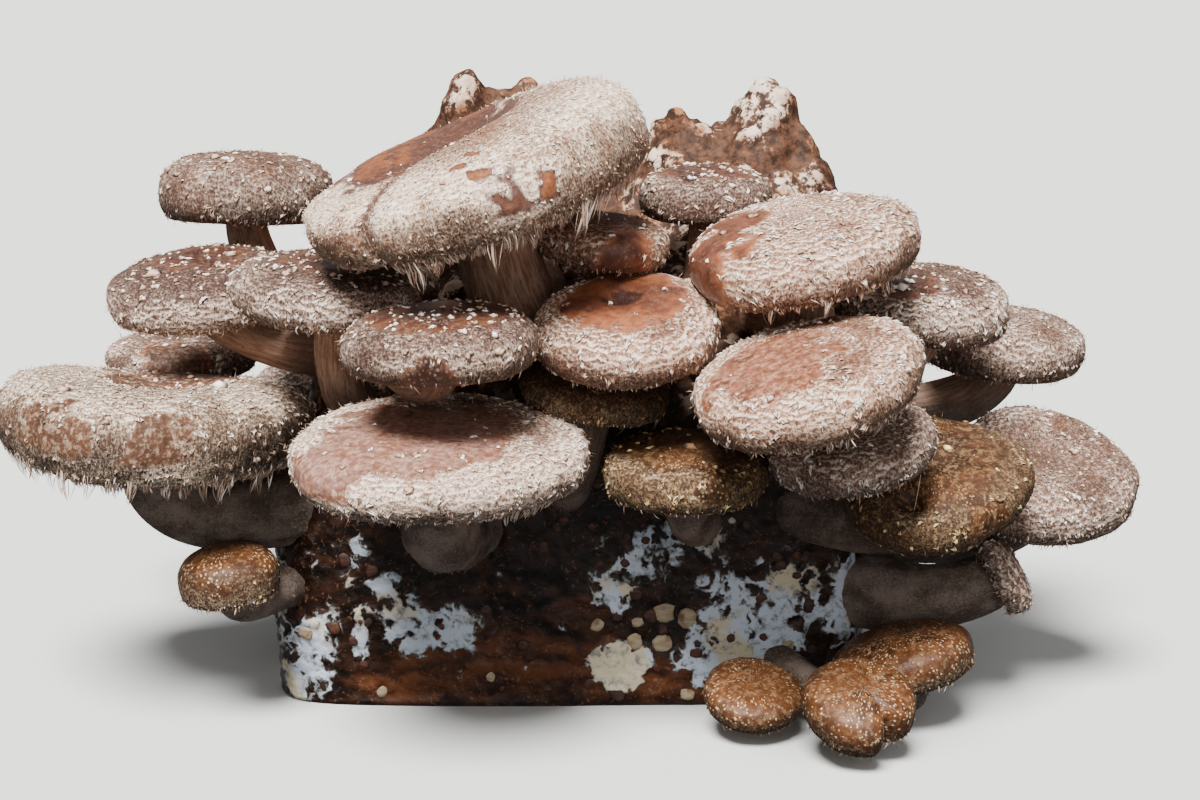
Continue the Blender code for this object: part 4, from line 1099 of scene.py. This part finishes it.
def block_top(x, y):
    """The CAD's crust height: a sloping plane with round lumps."""
    height = BLOCK_HEIGHT + TOP_SLOPE * y - LEFT_FALL * np.maximum(0.0, LEFT_FALL_START - x)
    for lump_x, lump_y, lump_height, lump_radius in LUMPS:
        gap = ((x - lump_x) ** 2 + (y - lump_y) ** 2) / lump_radius ** 2
        height = height + lump_height * np.exp(-gap)
    return height


def plan_reach(angle):
    """Reach of the block's plan outline: a superellipse with three shallow bulges."""
    across = np.abs(np.cos(angle)) / (BLOCK_WIDTH / 2)
    deep = np.abs(np.sin(angle)) / (BLOCK_DEPTH / 2)
    reach = (across ** PLAN_EXPONENT + deep ** PLAN_EXPONENT) ** (-1 / PLAN_EXPONENT)
    return reach * (1 + PLAN_BULGE * np.sin(3 * angle + PLAN_BULGE_TURN))


def block_columns():
    """Angles of the block's columns: even along the outline, and closer on the front."""
    angle = np.linspace(-math.pi, math.pi, 6001)
    outline = plan_reach(angle)[:, None] * np.stack([np.cos(angle), np.sin(angle)], axis=-1)
    steps = np.linalg.norm(np.diff(outline, axis=0), axis=1)
    front = outline[1:, 1] < -0.4 * BLOCK_DEPTH
    run = np.concatenate([[0.0], np.cumsum(steps * np.where(front, FRONT_FINENESS, 1.0))])
    return np.interp(np.linspace(0, run[-1], BLOCK_COLUMNS, endpoint=False), run, angle)


def block_rows():
    """Radius shares and height shares down the block's half outline, then in under its base."""
    rise = np.radians(np.linspace(0, 90, 400))
    side = np.sin(rise) ** (2 / SHOULDER_EXPONENT)
    level = np.maximum(np.clip(np.cos(rise), 0, 1) ** (2 / SHOULDER_EXPONENT), BASE_ROUNDING)
    side = np.concatenate([side, [1.0 - BASE_ROUNDING]])
    level = np.concatenate([level, [0.0]])
    steps = np.hypot(np.diff(side) * BLOCK_WIDTH / 2, np.diff(level) * BLOCK_HEIGHT)
    run = np.concatenate([[0.0], np.cumsum(steps)])
    shoulder = np.interp(0.90, side[:380], run[:380])
    lengths = np.concatenate([np.arange(0.5 * CRUST_STEP, shoulder, CRUST_STEP),
                              np.linspace(shoulder, run[-1], int((run[-1] - shoulder) / WALL_STEP))])
    under = np.linspace(1 - BASE_ROUNDING, 0.01, 9)[1:]
    return (np.concatenate([np.interp(lengths, run, side), under]),
            np.concatenate([np.interp(lengths, run, level), np.zeros(8)]))


def lace_field(points, patches):
    """White growth as a field, above 0 where it covers: patches, torn by noise bent along itself
    and pierced by small round holes."""
    bend = np.stack([layered_noise(points / 0.009 + 40 * axis, 2, 81 + axis) for axis in range(3)], axis=-1)
    place = points + 0.0032 * bend
    torn = 0.75 * layered_noise(place / 0.0068, 3, 91) + 0.20 * layered_noise(place / 0.0024, 2, 95)
    holes = 1 - smooth_step(0.22, 0.40, cell_noise(place / 0.0060, 97))
    return 1.35 * patches - 0.70 + 0.6 * torn - 0.45 * holes


def make_block(finish):
    """The block: a superellipse outline over a superellipse plan, with crumbs, a raised lace of
    growth, and popcorn lumps on the crust."""
    share, level = block_rows()
    angle = block_columns()[None, :]
    reach = share[:, None] * plan_reach(angle)
    height = level[:, None] + 0 * angle
    x = reach * np.cos(angle)
    y = reach * np.sin(angle)
    points = np.stack([x, y, height * block_top(x, y)], axis=-1)
    normal = unit(np.cross(np.gradient(points, axis=0), np.gradient(points, axis=1)))
    inside = smooth_step(0.0, 0.03, height)
    crust = smooth_step(0.72, 0.90, height + 0.06 * layered_noise(points / 0.02, 2, 51))
    front = smooth_step(-0.035, -0.055, y) * smooth_step(0.11, 0.085, points[..., 2])
    elsewhere = 0.95 * smooth_step(-0.25, 0.55, layered_noise(points / 0.024, 3, 61))
    patches = front * ellipse_cover(GROWTH, x, points[..., 2]) + (1 - front) * elsewhere
    growth = lace_field(points, patches)
    stain = smooth_step(-0.1, 0.6, layered_noise(points / 0.030 + 9, 2, 63))
    amber = front * ellipse_cover(AMBER, x, points[..., 2]) + (1 - front) * 0.8 * stain
    crumbs = 0.45 * layered_noise(points / 0.0045, 3, 53) + (0.5 - cell_noise(points / 0.0036, 54)) * 0.7
    knob = 0.55 - cell_noise(points / 0.0105, 55)
    popcorn = knob * 6.0 + (0.5 - cell_noise(points / 0.0045, 57)) * 1.8
    wander = layered_noise(points / 0.03, 2, 59) * 1.2
    lace = 0.55 * smooth_step(-0.05, 0.2, growth) * (1 - crust)
    push = (crumbs + crust * popcorn + wander + lace) * inside * MM
    points = points + normal * push[..., None]
    lump = np.clip(knob + 0.4, 0, 1)
    attributes = {"growth": spread(growth), "crust": spread(crust), "amber": spread(amber), "lump": spread(lump)}
    faces = grid_faces(len(share), BLOCK_COLUMNS, True)
    block = new_piece("crusted_block", spread(points), faces, finish, attributes)
    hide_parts("sawdust_block")
    return points, normal


# Pale chips that show on the front face: x, z and half length in mm
FRONT_CHIPS = [(9, 27, 2.5), (21, 22, 3), (30, 31, 4), (30, 21, 3.5), (38, 29, 4), (22, 28, 2), (52, 10, 2.5),
               (60, 7, 2.5), (38, 4, 2.5), (-84, 24, 2.5), (-60, 5, 2), (70, 20, 2), (-24, 10, 2)]
LOOSE_CHIPS = 240


def make_chips(name, spots, ways, size, finish, rng):
    """Wood chips half sunk in the block: flat, lumpy ellipsoids with rounded corners."""
    count = len(spots)
    rise = np.linspace(0.15, math.pi - 0.15, 6)[:, None]
    angle = np.linspace(0, math.tau, 10, endpoint=False)[None, :]
    corner = 1 + 0.07 * np.cos(4 * angle)
    form = np.stack([np.sin(rise) ** 0.5 * np.cos(angle) / corner, np.sin(rise) ** 0.5 * np.sin(angle) / corner,
                     np.cos(rise) + 0 * angle], axis=-1)
    form = form * np.array([1.0, 0.85, 0.20])
    lumps = 1 + 0.20 * lattice_noise(form[None] * 1.7 + rng.uniform(0, 90, (count, 1, 1, 3)), 71)
    tangent = unit(np.cross(ways, rng.normal(0, 1, (count, 3))))
    other = np.cross(ways, tangent)
    solid = form[None] * lumps[..., None] * size[:, None, None, None]
    points = (spots[:, None, None] + solid[..., 0:1] * tangent[:, None, None]
              + solid[..., 1:2] * other[:, None, None] + solid[..., 2:3] * ways[:, None, None])
    ends = np.stack([points[:, 0].mean(axis=1), points[:, -1].mean(axis=1)], axis=1)
    points = np.concatenate([points.reshape(count, 60, 3), ends], axis=1)
    faces = []
    for number in range(count):
        faces += [[62 * number + corner for corner in face] for face in grid_faces(6, 10, True)]
    new_piece(name, points, faces, finish)


def make_all_chips(points, normals):
    """Pale chips where they show on the front, and damp brown ones scattered over the walls."""
    rng = np.random.default_rng(5)
    spots = []
    for x, z, size in FRONT_CHIPS:
        target = np.array([x * MM, -BLOCK_DEPTH / 2, z * MM])
        nearest = np.argmin(np.linalg.norm(points - target, axis=-1))
        spots.append(np.unravel_index(nearest, points.shape[:2]))
    row, column = np.array(spots).T
    size = np.array([size for x, z, size in FRONT_CHIPS]) * MM
    bleached = chip_finish("bleached_chips", tone(160, 146, 118), tone(142, 122, 92), tone(108, 72, 46))
    make_chips("bleached_chips", points[row, column], normals[row, column], size, bleached, rng)
    rows, columns = np.nonzero((points[..., 2] > 0.004) & (points[..., 2] < 0.12))
    pick = rng.choice(len(rows), LOOSE_CHIPS, replace=False)
    row, column = rows[pick], columns[pick]
    damp_and_shade = chip_finish("damp_chips", tone(44, 20, 9), tone(78, 40, 18), tone(20, 8, 4))
    make_chips("damp_chips", points[row, column], normals[row, column], rng.uniform(0.8, 2.6, LOOSE_CHIPS) * MM,
               damp_and_shade, rng)


def make_object():
    """All the pieces of the grow block."""
    skins = {style: cap_finish("cap_" + style, *looks) for style, looks in CAP_STYLES.items()}
    pale = [tone(*color) for color in ((252, 238, 224), (232, 206, 184), (206, 174, 150), (176, 144, 122),
                                       (146, 118, 99), (118, 95, 80), (92, 75, 64), (72, 59, 51))]
    straw = [tone(*color) for color in ((236, 208, 156), (206, 168, 116), (164, 124, 84), (126, 95, 65),
                                        (98, 74, 53), (82, 62, 46), (68, 52, 40), (56, 44, 34))]
    scales = {style: fibre_finish("scales_of_" + style, looks[3], straw if style in ("amber", "golden") else pale)
              for style, looks in CAP_STYLES.items()}
    veil = fibre_finish("veil_threads", tone(150, 128, 110), pale)
    dusk = [tone(*color) for color in ((178, 140, 114), (160, 126, 104), (140, 110, 90), (170, 134, 110),
                                       (126, 98, 80), (110, 88, 74), (98, 80, 68), (88, 72, 62))]
    fuzz = fibre_finish("stem_fuzz", tone(88, 66, 52), dusk)
    gills = gill_finish()
    stems = stem_finish()
    for number, mushroom in enumerate(MUSHROOMS):
        rng = np.random.default_rng(100 + number)
        mushroom["phase"] = PHASE_STEP * number
        mushroom["profile"] = cap_profile(mushroom)
        make_cap(mushroom, skins[mushroom["style"]])
        make_gills(mushroom, gills)
        make_scales(mushroom, scales[mushroom["style"]], rng)
        make_fringe(mushroom, veil, rng)
        make_stem(mushroom, stems, fuzz, rng)
    make_all_chips(*make_block(block_finish()))


# Floor, light and camera

VIEW_ELEVATION = math.radians(12.0)
VIEW_DISTANCE = 0.700
VIEW_TARGET = (0.010, -0.062, 0.100)
VIEW_LENS = 67.74
FLOOR_SIZE = 120.0
FLOOR_COLOR = tone(212, 212, 208)
ROOM_COLOR = tone(244, 246, 250)
ROOM_STRENGTH = 0.28
KEY_PLACE = (-0.25, -0.95, 1.5)
KEY_STRENGTH = 11.8
KEY_WIDTH = math.radians(24)
FILL_PLACE = (0.35, -1.5, 0.6)
FILL_STRENGTH = 1.0
FILL_WIDTH = math.radians(60)


def make_stage():
    """A plain pale floor under the block, wide enough to fill the view."""
    f = Finish("pale_floor", Roughness=0.9, Base_Color=FLOOR_COLOR)
    half = FLOOR_SIZE / 2
    mesh = bpy.data.meshes.new("floor")
    mesh.from_pydata([(-half, -half, 0), (half, -half, 0), (half, half, 0), (-half, half, 0)], [], [(0, 1, 2, 3)])
    mesh.materials.append(f.material)
    floor = bpy.data.objects.new("floor", mesh)
    bpy.context.scene.collection.objects.link(floor)
    floor.visible_diffuse = False
    floor.visible_glossy = False


def point_at(thing, place, target):
    """Put a light or a camera at a place, with its -Z axis to the target."""
    way = unit(np.array(target) - np.array(place))
    thing.location = place
    thing.rotation_euler = (math.acos(-way[2]), 0.0, math.atan2(way[1], way[0]) - math.pi / 2)


def make_sun(name, place, strength, width):
    data = bpy.data.lights.new(name, "SUN")
    data.energy = strength
    data.angle = width
    lamp = bpy.data.objects.new(name, data)
    bpy.context.scene.collection.objects.link(lamp)
    point_at(lamp, place, (0.0, 0.0, 0.0))


def make_light():
    """A wide soft key light from above, a weak one from the front, and a pale room."""
    make_sun("key_light", KEY_PLACE, KEY_STRENGTH, KEY_WIDTH)
    make_sun("front_light", FILL_PLACE, FILL_STRENGTH, FILL_WIDTH)
    world = bpy.data.worlds.new("pale_room")
    world.use_nodes = True
    background = world.node_tree.nodes["Background"]
    background.inputs["Color"].default_value = ROOM_COLOR
    background.inputs["Strength"].default_value = ROOM_STRENGTH
    bpy.context.scene.world = world


def make_camera():
    camera = bpy.data.objects.new("camera", bpy.data.cameras.new("camera"))
    bpy.context.scene.collection.objects.link(camera)
    camera.data.lens = VIEW_LENS
    camera.data.clip_start = 0.01
    target = np.array(VIEW_TARGET)
    back = np.array([0.0, -math.cos(VIEW_ELEVATION), math.sin(VIEW_ELEVATION)])
    point_at(camera, tuple((target + VIEW_DISTANCE * back).tolist()), VIEW_TARGET)
    bpy.context.scene.camera = camera


make_camera()
make_object()
make_stage()
make_light()
